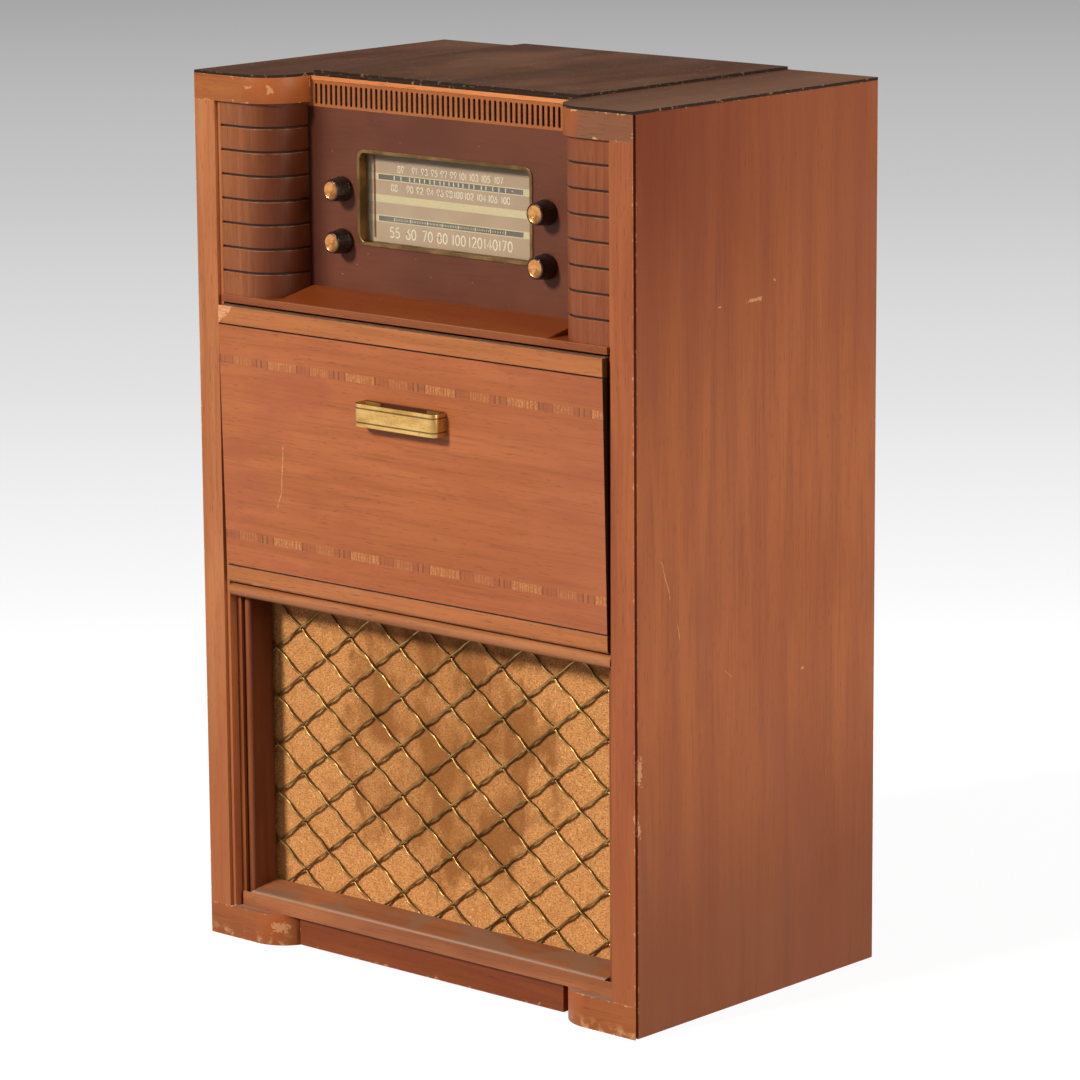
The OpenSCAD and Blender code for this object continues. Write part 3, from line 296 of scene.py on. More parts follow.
FLOOR_DEPTH, FLOOR_GLOW, FLOOR_TINT, FLOOR_REACH = 16.0, 0.86, (0.24, 0.253, 0.286), 60
paper = Finish("studio_paper")
along_floor = paper.minus(paper.times(paper.axis("y"), math.cos(turn)),
                          paper.times(paper.axis("x"), math.sin(turn)))
shades = paper.add("ShaderNodeValToRGB")
paper.feed(shades.inputs[0], paper.sum("DIVIDE", along_floor, FLOOR_DEPTH))
steps = [(0.9, 1.0), (1.8, 0.86), (3.4, 0.69), (5.95, 0.52), (10.6, 0.345), (15.5, 0.265)]
while len(shades.color_ramp.elements) < len(steps):
    shades.color_ramp.elements.new(1.0)
for mark, (distance, grey) in zip(shades.color_ramp.elements, steps):
    mark.position = distance / FLOOR_DEPTH
    mark.color = (grey, grey, grey, 1)
glow = paper.add("ShaderNodeEmission")
paper.feed(glow.inputs["Color"], shades.outputs[0])
paper.feed(glow.inputs["Strength"], paper.times(is_background_ray(paper), FLOOR_GLOW))
matt = paper.add("ShaderNodeBsdfDiffuse")
paper.feed(matt.inputs["Color"], paper.mix(1.0, shades.outputs[0], FLOOR_TINT, "MULTIPLY"))
both = paper.add("ShaderNodeAddShader")
paper.feed(both.inputs[0], glow.outputs[0])
paper.feed(both.inputs[1], matt.outputs[0])
paper.feed(paper.tree.nodes["Material Output"].inputs["Surface"], both.outputs[0])

floor_mesh = bpy.data.meshes.new("studio_floor")
corners = [(FLOOR_REACH * x, FLOOR_REACH * y, 0) for x, y in ((-1, -1), (1, -1), (1, 1), (-1, 1))]
floor_mesh.from_pydata(corners, [], [(0, 1, 2, 3)])
floor_mesh.materials.append(paper.material)
stand("studio_floor", floor_mesh)

world = bpy.data.worlds.new("studio_air")
world.use_nodes = True
bpy.context.scene.world = world
air = world.node_tree.nodes["Background"]
air.inputs["Color"].default_value = (*WARMTH, 1)
air.inputs["Strength"].default_value = SKY_STRENGTH
print("Floor reaches", FLOOR_REACH, "m each way, pale near the cabinet and grey behind it")

# %% [markdown]
# ## Wood
# The cabinet is veneered in a straight, close-grained wood, stained red-brown and lacquered. Four
# things make it read as wood: broad soft bands along the grain, hair-fine lines, short dark
# pores, and patches where the stain took unevenly. Age adds pale rubbed edges and dust on
# whatever faces up. Carved grain would be lost under lacquer, so all this is colour, a little
# unevenness in the gloss, and a very shallow relief.

# %% Mix a wood finish
def rim_distance(finish, low, high):
    """How far a place on a board is from the board's nearest long edge, in metres."""
    depths = []
    for letter, start, stop in zip("xyz", low, high):
        place = finish.axis(letter)
        depths.append(finish.sum("MINIMUM", finish.minus(place, start), finish.minus(stop, place)))
    deepest, nearest = finish.fold("MAXIMUM", *depths), finish.fold("MINIMUM", *depths)
    return finish.minus(finish.plus(*depths), deepest, nearest)


def lie_between(finish, letter, low, high, soft=0.0002):
    """1 between two places, given in metres, along an axis."""
    return finish.within(finish.axis(letter), low - soft, low + soft, high - soft, high + soft)


def scratch(finish, colour, letter, start, stop, width, code="#D9A77E", amount=0.8):
    """A scratch between two places (along the board, height), both in metres."""
    (a0, z0), (a1, z1) = sorted((start, stop), key=lambda place: place[1])
    line = finish.between(finish.axis("z"), z0, z1, a0, a1)
    off = finish.size(finish.minus(finish.axis(letter), line))
    flicker = finish.cloud(0.0035, detail=2, shift=a0 * 50)
    ragged = finish.between(flicker, 0.35, 0.5, width * 0.3, width)
    near = finish.between(finish.minus(off, ragged), 0.0002, -0.0002, 0, amount)
    return finish.cover(colour, code, finish.times(near, lie_between(finish, "z", z0, z1, 0.001)))


def chip(finish, colour, letter, middle, half, amount=0.8):
    """A ragged spot: middle and half are (along the board, height) in metres."""
    far = []
    for axis, centre, reach in zip((letter, "z"), middle, half):
        off = finish.size(finish.minus(finish.axis(axis), centre))
        far.append(finish.sum("DIVIDE", off, reach))
    flicker = finish.cloud(0.003, detail=4, shift=middle[1] * 60)
    ragged = finish.between(flicker, 0.3, 0.7, -0.5, 0.5)
    far = finish.plus(finish.sum("MAXIMUM", *far), ragged)
    return finish.lay(colour, "#CC9468", far, 1.0, 0.85, 0, amount)


DARK_HAIR, PORE = (0.05, 0.018, 0.007), (0.035, 0.013, 0.006)


def wood(name, pale, deep, grain, blush=None, band=0.017, gloss=0.42, pores=0.38, shift=0.0,
         board=None, rub=0.0012, rub_tint="#D39A6E", dust=0.0, dust_tint="#A08A7C",
         leaning=False, extra=None, lustre=0.22):
    """Lacquered wood. The grain runs along one axis; board is the box whose edges are rubbed."""
    finish = Finish(name, leaning)
    bands = finish.cloud(band, grain, 16, detail=4, shift=shift, bend=0.5)
    hairs = finish.cloud(0.0021, grain, 40, detail=3, shift=shift)
    pits = finish.cloud(0.0011, grain, 14, detail=1, shift=shift + 2)
    patches = finish.cloud(0.13, grain, 1.8, detail=3, shift=shift + 5)
    colour = finish.blend(bands, 0.30, 0.70, deep, pale)
    colour = finish.lay(colour, blush or deep, patches, 0.45, 0.72, 0, 0.6)
    colour = finish.mix(finish.between(hairs, 0.5, 0.68, 0, 0.16), colour, DARK_HAIR)
    colour = finish.lay(colour, pale, hairs, 0.48, 0.3, 0, 0.10)
    open_pits = finish.between(pits, 0.62, 0.74, 0, pores)
    colour = finish.mix(open_pits, colour, PORE)
    shine = finish.between(patches, 0.3, 0.7, gloss - 0.06, gloss + 0.08)
    if extra:
        colour = extra(finish, colour)
    if dust:
        lies = finish.between(finish.face("z"), 0.55, 0.9, 0, dust)
        drifts = finish.cloud(0.045, grain, 2.5, detail=4, shift=shift)
        layer = finish.times(lies, finish.between(drifts, 0.38, 0.6, 0.25, 1))
        colour = finish.cover(colour, dust_tint, layer)
        shine = finish.plus(shine, finish.times(layer, 0.35))
    if board:
        ragged = finish.cloud(0.007, detail=4, shift=shift + 9, rough=0.65)
        reach = finish.between(ragged, 0.53, 0.74, 0.0, rub * 2)
        past_rim = finish.minus(reach, rim_distance(finish, *board))
        bare = finish.between(past_rim, -0.0002, 0.0003, 0, 0.75)
        colour = finish.cover(colour, rub_tint, bare)
        shine = finish.plus(shine, finish.times(bare, 0.25))
    finish.put(Base_Color=colour, Roughness=shine, Specular_IOR_Level=lustre,
               Coat_Weight=lustre * 0.14, Coat_Roughness=0.32)
    grain_height = finish.plus(finish.times(hairs, 0.5), open_pits)
    finish.relief(finish.times(grain_height, -1.0), 0.00012)
    return finish.material


def dress(material, *names):
    """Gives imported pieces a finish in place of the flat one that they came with."""
    for name in names:
        for holder in nodes[name].material_slots:
            holder.material = material


def ease(width, *names):
    """Takes the sharpness off a node's edges, as sandpaper does, without moving its corners."""
    for name in names:
        weld = nodes[name].modifiers.new("join_corners", "WELD")
        weld.merge_threshold = 0.00001
        round_off = nodes[name].modifiers.new("round_edges", "BEVEL")
        round_off.width = width / 1000
        round_off.segments = 2
        round_off.limit_method = "ANGLE"
        round_off.angle_limit = math.radians(40)


def mirrored_pair(name):
    """The names of a left and a right piece."""
    return name + "_left", name + "_right"


print("Nodes to dress:", len(nodes))

# %% [markdown]
# ## The case
# Each side is one veneered panel with upright grain, darker and redder towards the front where
# hands and polish went, and paler in its middle. The top is much darker: light and spills have
# browned it. Its edge is painted nearly black, with the paint worn through at the corners.

# %% Finish the case
BARE_WOOD = "#B58E62"
SIDE_DENTS = [((0.185, 0.7213), (0.0105, 0.0017)), ((0.131, 0.7205), (0.003, 0.0011)),
              ((0.0075, 0.273), (0.0035, 0.012)), ((0.0065, 0.215), (0.0022, 0.008)),
              ((0.216, 0.7376), (0.0014, 0.0012)), ((0.262, 0.333), (0.002, 0.0012))]
SIDE_SCRATCHES = [((0.039, 0.480), (0.0437, 0.476)), ((0.0437, 0.476), (0.0542, 0.439)),
                  ((0.066, 0.412), (0.069, 0.396)), ((0.140, 0.352), (0.149, 0.344))]


def side_stain(finish, colour):
    """Red-brown near the front edge and the top, rosy smudges, and an unpolished inner face."""
    high = finish.between(finish.axis("z"), 0.52, 0.92)
    front = finish.between(finish.axis("y"), FRONT, FRONT + 0.30, 0.85, 0.35)
    colour = finish.cover(colour, "#6C2705", finish.times(high, front))
    colour = finish.lay(colour, "#6E3618", finish.axis("z"), 0.36, 0.04, 0, 0.7)
    smudge = finish.cloud(0.09, "z", 2.4, detail=2, shift=21)
    colour = finish.lay(colour, "#8A4A30", smudge, 0.55, 0.7, 0, 0.35)
    return finish.lay(colour, BARE_WOOD, finish.size(finish.axis("x")), 0.2810, 0.2804, 0, 0.82)


def right_side_marks(finish, colour):
    """The dents and scratches that the right side has collected."""
    colour = side_stain(finish, colour)
    for (back, up), half in SIDE_DENTS:
        colour = chip(finish, colour, "y", (FRONT + back, up), half)
    for ends in SIDE_SCRATCHES:
        places = [(FRONT + back, up) for back, up in ends]
        colour = scratch(finish, colour, "y", *places, 0.0006, "#CF9468", 0.7)
    return colour


def top_wear(finish, colour):
    """Pale scratches and specks on the dark top, and black paint, worn, on its upright edge."""
    scratches = finish.between(finish.cloud(0.0016, "y", 30, detail=2, shift=31), 0.66, 0.72)
    zone = finish.between(finish.cloud(0.08, "y", 3, detail=2, shift=35), 0.52, 0.62)
    colour = finish.cover(colour, "#A58B77", finish.times(scratches, zone, 0.5))
    specks = finish.cloud(0.003, detail=1, shift=37)
    colour = finish.lay(colour, "#B09A86", specks, 0.71, 0.76, 0, 0.6)
    film = finish.cloud(0.14, "y", 2, detail=4, shift=39, rough=0.6)
    colour = finish.lay(colour, "#7C5643", film, 0.44, 0.66, 0, 0.45)
    colour = finish.lay(colour, "#865E4A", finish.axis("x"), 0.16, 0.29, 0, 0.5)
    colour = finish.lay(colour, BARE_WOOD, finish.face("z"), -0.6, -0.9, 0, 0.85)
    worn = finish.cloud(0.006, detail=4, shift=4, rough=0.6)
    paint = finish.blend(worn, 0.60, 0.68, "#2E2620", "#8B735E")
    return finish.mix(finish.between(finish.size(finish.face("z")), 0.75, 0.45), colour, paint)


def dress_boards(parts, shifts, tones, grain, blush, kind="_wood", **settings):
    """Boards of one kind, each with its own cut of the wood and its own rubbed edges."""
    for part, shift, (pale, deep) in zip(parts, shifts, tones):
        dress(wood(part + kind, pale, deep, grain, blush, shift=shift, board=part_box(part),
                   **settings), part)


marks = (side_stain, right_side_marks)
for part, shift, extra in zip(mirrored_pair("side_panel"), (3.1, 0.0), marks):
    dress_boards([part], [shift], [("#AC6136", "#9C5430")], "z", "#9C5532", "_veneer", band=0.024,
                 rub=0.0011, rub_tint="#B98458", extra=extra)
dress_boards(("top_board", "top_centre_panel"), (1.0, 7.0), [("#5C3A2B", "#4C2F23")] * 2, "y",
             "#543427", "_veneer", band=0.03, gloss=0.5, rub=0.0009, rub_tint="#745646",
             extra=top_wear, lustre=0.06)
ease(0.8, *mirrored_pair("side_panel"))
ease(0.5, "top_board", "top_centre_panel")
bare_board = wood("unpolished_board", "#C79D70", "#AC7F52", "x", "#B8895C", band=0.03, gloss=0.72,
                  pores=0.25, shift=13)
dress(bare_board, "base_board", "changer_shelf", "shelf_cleats", "speaker_baffle")
ease(0.4, "base_board", "changer_shelf", "shelf_cleats")
print("Case dressed: two sides, top, raised panel, hidden boards")

# %% [markdown]
# ## The front frame
# Stiles, corner blocks and feet are solid wood. The stiles' grain runs up; the blocks' grain
# runs across. They are paler than the sides, orange where the lamp meets them, and rubbed bare
# along their edges, most of all at the feet, where shoes and brooms hit them.

# %% Finish the front frame
BLOCK_CHIPS = [((-0.2218, 0.9116), (0.0035, 0.0014)), ((-0.2002, 0.909), (0.0022, 0.004)),
               ((0.190, 0.919), (0.006, 0.003)), ((-0.204, 0.0195), (0.007, 0.005))]


def stile_foot(finish, colour):
    """A stile darkens towards the floor."""
    return finish.lay(colour, "#96502C", finish.axis("z"), 0.40, 0.12, 0, 0.5)


def block_stain(finish, colour):
    """The curved inner corner of a block is redder than its flat face, and four spots are bare."""
    colour = finish.lay(colour, "#A05529", finish.size(finish.axis("x")), 0.236, 0.222, 0, 0.75)
    for middle, half in BLOCK_CHIPS:
        colour = chip(finish, colour, "x", middle, half, amount=0.7)
    return colour


def foot_grime(finish, colour):
    """Scuffed pale patches near the floor."""
    low = finish.between(finish.axis("z"), 0.016, 0.001, 0, 0.8)
    scuffs = finish.between(finish.cloud(0.014, detail=4, shift=41, rough=0.6), 0.5, 0.66)
    return finish.cover(block_stain(finish, colour), "#CE9E72", finish.times(low, scuffs))


def sill_dust(finish, colour):
    """Grey dust on the slope of the sill, wiped off in a few places, and a painted highlight on its
    nose.
    """
    up = finish.between(finish.face("z"), 0.3, 0.8)
    wiped = finish.between(finish.cloud(0.055, "x", 1.4, detail=2, shift=52), 0.47, 0.54)
    amount = finish.times(up, finish.minus(0.8, finish.times(wiped, 0.72)))
    colour = finish.cover(colour, "#84614E", amount)
    # Painted highlight along the nose of the sill.
    lip = finish.between(finish.axis("y"), FRONT + 0.0175, FRONT + 0.0125, 0, 0.8)
    return finish.cover(colour, "#AE9180", finish.times(up, lip))


def jamb_shade(finish, colour):
    """Painted shade: the inward faces of the jambs are darker than their steps."""
    return finish.lay(colour, "#471C0A", finish.size(finish.face("x")), 0.6, 0.9, 0, 0.6)


dress_boards(mirrored_pair("stile"), (2.0, 4.0), (("#BE784B", "#AC653C"), ("#AA6038", "#965030")),
             "z", "#A8623D", band=0.012, rub=0.0010, dust=0.3, extra=stile_foot)
dress_boards(mirrored_pair("cap"), (6.0, 8.0), (("#AE6735", "#9C562B"), ("#865A44", "#784C36")),
             "x", "#945630", band=0.015, rub=0.0016, rub_tint="#DDA57C", extra=block_stain)
dress_boards(mirrored_pair("foot"), (10.0, 12.0), [("#A25C30", "#904C24")] * 2, "x", "#945028",
             band=0.018, rub=0.0016, dust=0.8, dust_tint="#A08778", extra=foot_grime)
dress(wood("sill_wood", "#A86842", "#8F5433", "x", "#7F4A32", band=0.014, shift=14, gloss=0.5,
           extra=sill_dust), "sill_rail")
dress(wood("header_wood", "#B4764D", "#A3653F", "x", "#A0623E", band=0.014, shift=15),
      "header_rail")
dress(wood("plinth_wood", "#863F16", "#743410", "x", "#793816", band=0.014, shift=16,
           board=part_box("plinth_rail"), rub=0.0022, rub_tint="#C08A66"), "plinth_rail")
for part, shift in zip(mirrored_pair("jamb"), (17.0, 18.0)):
    dress(wood(part + "_wood", "#94532F", "#7C4022", "z", "#8A4829", band=0.012, shift=shift,
               extra=jamb_shade), part)
ease(0.5, *mirrored_pair("stile"))
ease(0.7, *mirrored_pair("cap"), *mirrored_pair("foot"))
ease(0.4, "sill_rail", "plinth_rail", *mirrored_pair("jamb"))
print("Front frame dressed")

# %% [markdown]
# ## Making new pieces
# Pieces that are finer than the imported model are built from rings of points: a tube, a turned
# knob and a grooved column are all rings joined by walls. A box is six faces. One small class
# collects points and faces, and makes the mesh when all of a piece's parts are in.

# %% A bench for making pieces
class Shape:
    """Collects points, in metres, and faces, and turns them into one piece."""

    def __init__(self):
        self.points, self.faces = [], []

    def loft(self, rings):
        """Walls between rings of equal length, and flat ends."""
        first, sides = len(self.points), len(rings[0])
        for ring in rings:
            self.points.extend(ring)
        for row in range(len(rings) - 1):
            for i in range(sides):
                j = (i + 1) % sides
                a, b = first + row * sides, first + (row + 1) * sides
                self.faces.append((a + i, a + j, b + j, b + i))
        last = first + (len(rings) - 1) * sides
        self.faces.append(tuple(first + i for i in reversed(range(sides))))
        self.faces.append(tuple(last + i for i in range(sides)))
        return self

    def box(self, low, high):
        """A box between two corners, given in the joiner's millimetres."""
        (x0, y0, z0), (x1, y1, z1) = low, high
        first = len(self.points)
        self.points.extend(at(x, y, z) for z in (z0, z1) for y in (y0, y1) for x in (x0, x1))
        for face in ((0, 2, 3, 1), (4, 5, 7, 6), (0, 1, 5, 4),
                     (2, 6, 7, 3), (0, 4, 6, 2), (1, 3, 7, 5)):
            self.faces.append(tuple(first + i for i in face))
        return self

    def turned(self, centre, profile, sides=64, wobble=None):
        """A turned piece about a line towards the front: profile is (mm to the front, radius)."""
        rings = []
        for out, radius in profile:
            ring = []
            for i in range(sides):
                angle = 2 * math.pi * i / sides
                r = radius + (wobble(out, angle) if wobble else 0)
                ring.append(at(centre[0] + r * math.cos(angle), centre[1] - out,
                               centre[2] + r * math.sin(angle)))
            rings.append(ring)
        return self.loft(rings)

    def make(self, name, material, body, stands_for=(), slot=None, smooth=35):
        mesh = bpy.data.meshes.new(name)
        mesh.from_pydata([tuple(p) for p in self.points], [], self.faces)
        mesh.materials.append(material)
        mesh.validate()
        if smooth:
            mesh.shade_smooth()
            mesh.set_sharp_from_angle(angle=math.radians(smooth))
        thing = stand(name, mesh)
        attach(thing, body)
        if stands_for:
            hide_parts(*stands_for)
        print(name, "made:", len(mesh.vertices), "points,", len(mesh.polygons), "faces")
        return thing


# %% [markdown]
# ## The ribbed columns
# Beside the radio stand two columns whose inner front corner is a quarter round. Seven grooves
# are turned round each. On the real wood every rib's edges are softened. Painted shade darkens the
# grooves and the inner curve, and a painted highlight makes a pale line on the lip that faces up.
# The plan of the column is drawn once and pushed in a little at each height, so that the grooves
# follow the curve exactly.

# %% Carve the columns
COLUMN_X, COLUMN_SET, COLUMN_TURN, COLUMN_BACK, BEAD_X = 190.0, 4.0, 40.0, 56.0, 265.5
SHELF_Z, CAP_Z = 693.6, 895.0
RIBS, GROOVE, GROOVE_DEPTH = 8, 2.4, 2.0
RIB_PITCH = (CAP_Z - SHELF_Z) / RIBS


def column_ring(side, z, inset):
    """The column's plan at height z, pushed in by inset millimetres. side is 1 or -1."""
    plan, radius, quarter = [(BEAD_X, COLUMN_SET + inset)], COLUMN_TURN - inset, 16
    for i in range(quarter + 1):
        angle = math.radians(90 * i / quarter)
        plan.append((COLUMN_X + COLUMN_TURN - radius * math.sin(angle),
                     COLUMN_SET + COLUMN_TURN - radius * math.cos(angle)))
    plan += [(COLUMN_X + inset, COLUMN_BACK), (BEAD_X, COLUMN_BACK)]
    ring = [at(side * x, y, z) for x, y in plan]
    return ring if side < 0 else ring[::-1]


def column_heights():
    """(height, inset) pairs from the shelf to the cap, with softened lips at each groove."""
    pairs = [(SHELF_Z, 0.0)]
    for i in range(1, RIBS):
        z = SHELF_Z + i * RIB_PITCH
        low, high = z - GROOVE / 2, z + GROOVE / 2
        pairs += [(low - 1.0, 0.0), (low - 0.55, 0.10), (low - 0.2, 0.34), (low, 0.8),
                  (low + 0.15, GROOVE_DEPTH), (high - 0.1, GROOVE_DEPTH), (high, 0.35),
                  (high + 0.3, 0.08), (high + 0.6, 0.0)]
    return pairs + [(CAP_Z, 0.0)]


def groove_grime(side):
    """Painted shade in the grooves and round the inner curve, and a painted highlight under each.
    """
    def grime(finish, colour):
        above = finish.minus(finish.axis("z"), SHELF_Z / 1000)
        steps = finish.sum("DIVIDE", above, RIB_PITCH / 1000)
        off = finish.times(finish.minus(steps, finish.sum("ROUND", steps)), RIB_PITCH / 1000)
        inside = finish.times(finish.within(off, -0.0013, -0.0009, 0.0010, 0.0014),
                              finish.between(steps, 0.4, 0.6),
                              finish.between(steps, RIBS - 0.4, RIBS - 0.6))
        # Painted shade round the inner curve, deeper on the left column.
        code, outer = ("#4E1C06", 0.248) if side < 0 else ("#7E442A", 0.236)
        colour = finish.lay(colour, code, finish.size(finish.axis("x")), outer, 0.198, 0, 0.85)
        # Painted shade inside each groove.
        colour = finish.cover(colour, "#33211A", inside)
        # Painted highlight, ragged, on the lip under each groove.
        lip = finish.within(off, -0.00225, -0.00165, -0.0014, -0.0010)
        ragged = finish.between(finish.cloud(0.008, detail=3, shift=61), 0.38, 0.6, 0.08, 0.5)
        return finish.cover(colour, "#A0714E", finish.times(lip, ragged))
    return grime


for side, part, tones in ((-1, "column_left", ("#9E5E38", "#8E5230")),
                          (1, "column_right", ("#965634", "#84462C"))):
    stained_and_shaded = wood(part + "_wood", *tones, "z", "#86472A", band=0.006, gloss=0.38, shift=20 + side,
                   extra=groove_grime(side))
    column = Shape().loft([column_ring(side, z, inset) for z, inset in column_heights()])
    column.make(part + "_ribbed", stained_and_shaded, "cabinet", [part], "front_wood")

# %% [markdown]
# ## The shelf under the radio
# The shelf's front edge is a thin pale nosing. Behind it the wood rises in a gentle ramp to the
# panel, and the lacquer there is thick and glossy because hands rest on it but nothing rubs it.

# %% Finish the shelf
def shelf_stain(finish, colour):
    """Warmer and deeper brown on the ramp, paler at the nosing, with dust at the very edge."""
    up = finish.between(finish.face("z"), 0.5, 0.9)
    colour = finish.cover(colour, "#7C3612", finish.times(up, 0.72))
    edge = finish.times(up, finish.between(finish.axis("y"), FRONT + 0.003, FRONT + 0.0012))
    return finish.cover(colour, "#B98865", finish.times(edge, 0.6))


dress(wood("shelf_wood", "#94522C", "#824422", "x", "#824220", band=0.016, gloss=0.3, shift=24,
           extra=shelf_stain), "radio_shelf")
ease(0.4, "radio_shelf")

# %% [markdown]
# ## The radio panel and its vent
# The panel is sprayed a matt maroon-brown, with only a hint of grain under the colour. Over it
# runs an orange-brown strip with upright slots that lets the valves' heat out. Inside the slots
# the strip's material carries painted shade.

# %% Finish the panel and the vent
panel = Finish("sprayed_panel")
haze = panel.cloud(0.09, "x", 1.5, detail=3, shift=26)
mist = panel.cloud(0.0012, detail=2, shift=27)
fibre = panel.cloud(0.003, "x", 18, detail=2, shift=28)
shade = panel.blend(haze, 0.35, 0.65, "#5F3425", "#6D3D2B")
shade = panel.lay(shade, "#4A271E", fibre, 0.5, 0.68, 0, 0.16)
shade = panel.lay(shade, "#88563F", mist, 0.6, 0.8, 0, 0.2)
shade = panel.lay(shade, "#B07A58", panel.cloud(0.0042, detail=1, shift=29), 0.745, 0.775, 0, 0.75)
# Painted shadow of the left column on the panel, a dark band at its left.
shade = panel.lay(shade, "#3C170C", panel.axis("x"), -0.150, -0.186, 0, 0.8)
panel.put(Base_Color=shade, Roughness=panel.between(haze, 0.3, 0.7, 0.40, 0.5),
          Specular_IOR_Level=0.22).relief(mist, 0.00004)
dress(panel.material, "radio_panel")


def slot_dark(finish, colour):
    """Painted shade inside the slots, and a redder tone on the slotted strip."""
    deep = finish.between(finish.axis("y"), FRONT + 0.0570, FRONT + 0.0585)
    sideways = finish.between(finish.size(finish.face("y")), 0.75, 0.5)
    colour = finish.lay(colour, "#844826", finish.axis("z"), 0.9174, 0.9169, 0, 0.7)
    # Painted shade on the slots' deep faces and, more lightly, on their side walls.
    inside = finish.sum("MAXIMUM", deep, finish.times(sideways, 0.35))
    return finish.cover(colour, "#2A120A", inside)


dress(wood("vent_wood", "#E59459", "#D47F4B", "x", "#D27F50", band=0.012, shift=30,
           extra=slot_dark), "vent_grille")
print("Shelf, panel and vent dressed")

# %% [markdown]
# ## The dial
# Behind the window stands a beige card with cream figures, two dark scales and a cream stripe.
# A picture of it would be a texture; instead the figures are drawn as strokes of paint, a
# twentieth of a millimetre thick, because real printed figures have crisp edges at any distance.
# Each figure is a few lines and arcs in a small frame, as on a signwriter's practice sheet.

# %% Print the dial card
card = Finish("dial_card")
tone = card.cloud(0.06, detail=3, shift=1)
grit = card.cloud(0.0013, detail=2, shift=2)
beige = card.blend(tone, 0.3, 0.7, "#A98D74", "#B59A7E")
beige = card.lay(beige, "#CDB59A", grit, 0.55, 0.75, 0, 0.25)
beige = card.lay(beige, "#8E8069", card.axis("z"), 0.838, 0.846, 0, 0.8)
beige = card.lay(beige, "#C8AE83", card.axis("x"), -0.100, -0.117, 0, 0.8)
card.put(Base_Color=beige, Roughness=0.7).relief(grit, 0.00003)
dress(card.material, "dial_plate")


def arc(cx, cy, rx, ry, start, stop, count=10):
    """Points on part of an oval, with angles in degrees."""
    return [(cx + rx * math.cos(math.radians(start + (stop - start) * i / count)),
             cy + ry * math.sin(math.radians(start + (stop - start) * i / count)))
            for i in range(count + 1)]


STROKES = {
    "0": [arc(0.3, 0.5, 0.27, 0.5, 0, 360, 20)],
    "1": [[(0.14, 0.0), (0.14, 1.0)]],
    "2": [arc(0.29, 0.73, 0.25, 0.27, 165, -20) + [(0.04, 0.0), (0.56, 0.0)]],
    "3": [arc(0.27, 0.75, 0.23, 0.25, 150, -90), arc(0.27, 0.26, 0.26, 0.26, 90, -150)],
    "4": [[(0.42, 0.0), (0.42, 1.0), (0.02, 0.28), (0.58, 0.28)]],
    "5": [[(0.5, 1.0), (0.14, 1.0), (0.09, 0.55)] + arc(0.26, 0.31, 0.28, 0.31, 125, -145)],
    "6": [arc(0.3, 0.3, 0.27, 0.3, 0, 360, 18), [(0.42, 1.0), (0.05, 0.42)]],
    "7": [[(0.04, 1.0), (0.54, 1.0), (0.2, 0.0)]],
    "8": [arc(0.29, 0.76, 0.22, 0.24, 0, 360, 16), arc(0.29, 0.27, 0.27, 0.27, 0, 360, 16)],
    "9": [arc(0.3, 0.7, 0.27, 0.3, 0, 360, 18), [(0.18, 0.0), (0.55, 0.58)]],
}
CARD_Y = 70.0
INK_Y = CARD_Y - 0.06
NARROW, WIDE, GAP, PAINT = 0.28, 0.6, 0.16, 0.05


def figure_width(letter):
    """A figure's width as a share of its height."""
    return NARROW if letter == "1" else WIDE


def write_number(shape, text, middle_x, middle_z, tall, thick):
    """Adds painted figures, centred on a place, as flat ribbons along their strokes."""
    total = sum(figure_width(letter) for letter in text) + GAP * (len(text) - 1)
    left = middle_x - total * tall / 2
    for letter in text:
        for stroke in STROKES[letter]:
            line = [Vector((left + px * tall, middle_z + (pz - 0.5) * tall)) for px, pz in stroke]
            rings, last = [], len(line) - 1
            for i, here in enumerate(line):
                run = line[min(i + 1, last)] - line[max(i - 1, 0)]
                if i in (0, last) and line[0] == line[-1]:
                    run = line[1] - line[-2]
                run.normalize()
                side = Vector((-run.y, run.x)) * thick / 2
                above, below = here + side, here - side
                rings.append([at(above.x, INK_Y, above.y), at(above.x, INK_Y + PAINT, above.y),
                              at(below.x, INK_Y + PAINT, below.y), at(below.x, INK_Y, below.y)])
            shape.loft(rings)
        left += (figure_width(letter) + GAP) * tall


def ink(name, code):
    """Printer's ink, a little uneven."""
    finish = Finish(name)
    grain = finish.cloud(0.0009, detail=2, shift=5)
    thin = tuple(c * 0.82 for c in tint(code))
    colour = finish.mix(finish.between(grain, 0.35, 0.7), tint(code), thin)
    return finish.put(Base_Color=colour, Roughness=0.6).relief(grain, 0.00002).material


cream_ink, pale_ink = ink("cream_ink", "#D8C89C"), ink("pale_ink", "#F4EBD4")
dark_ink = ink("dark_ink", "#5E574E")
CARD_EDGE, SCALE_LEFT, SCALE_RIGHT = 119, -104, 95
UPPER_SCALE, LOWER_SCALE, OUTER, INNER = 822.8, 780.0, 3.6, 2.6


def print_bar(shape, left, right, low, high):
    """A bar of ink on the card."""
    shape.box((left, INK_Y, low), (right, CARD_Y, high))


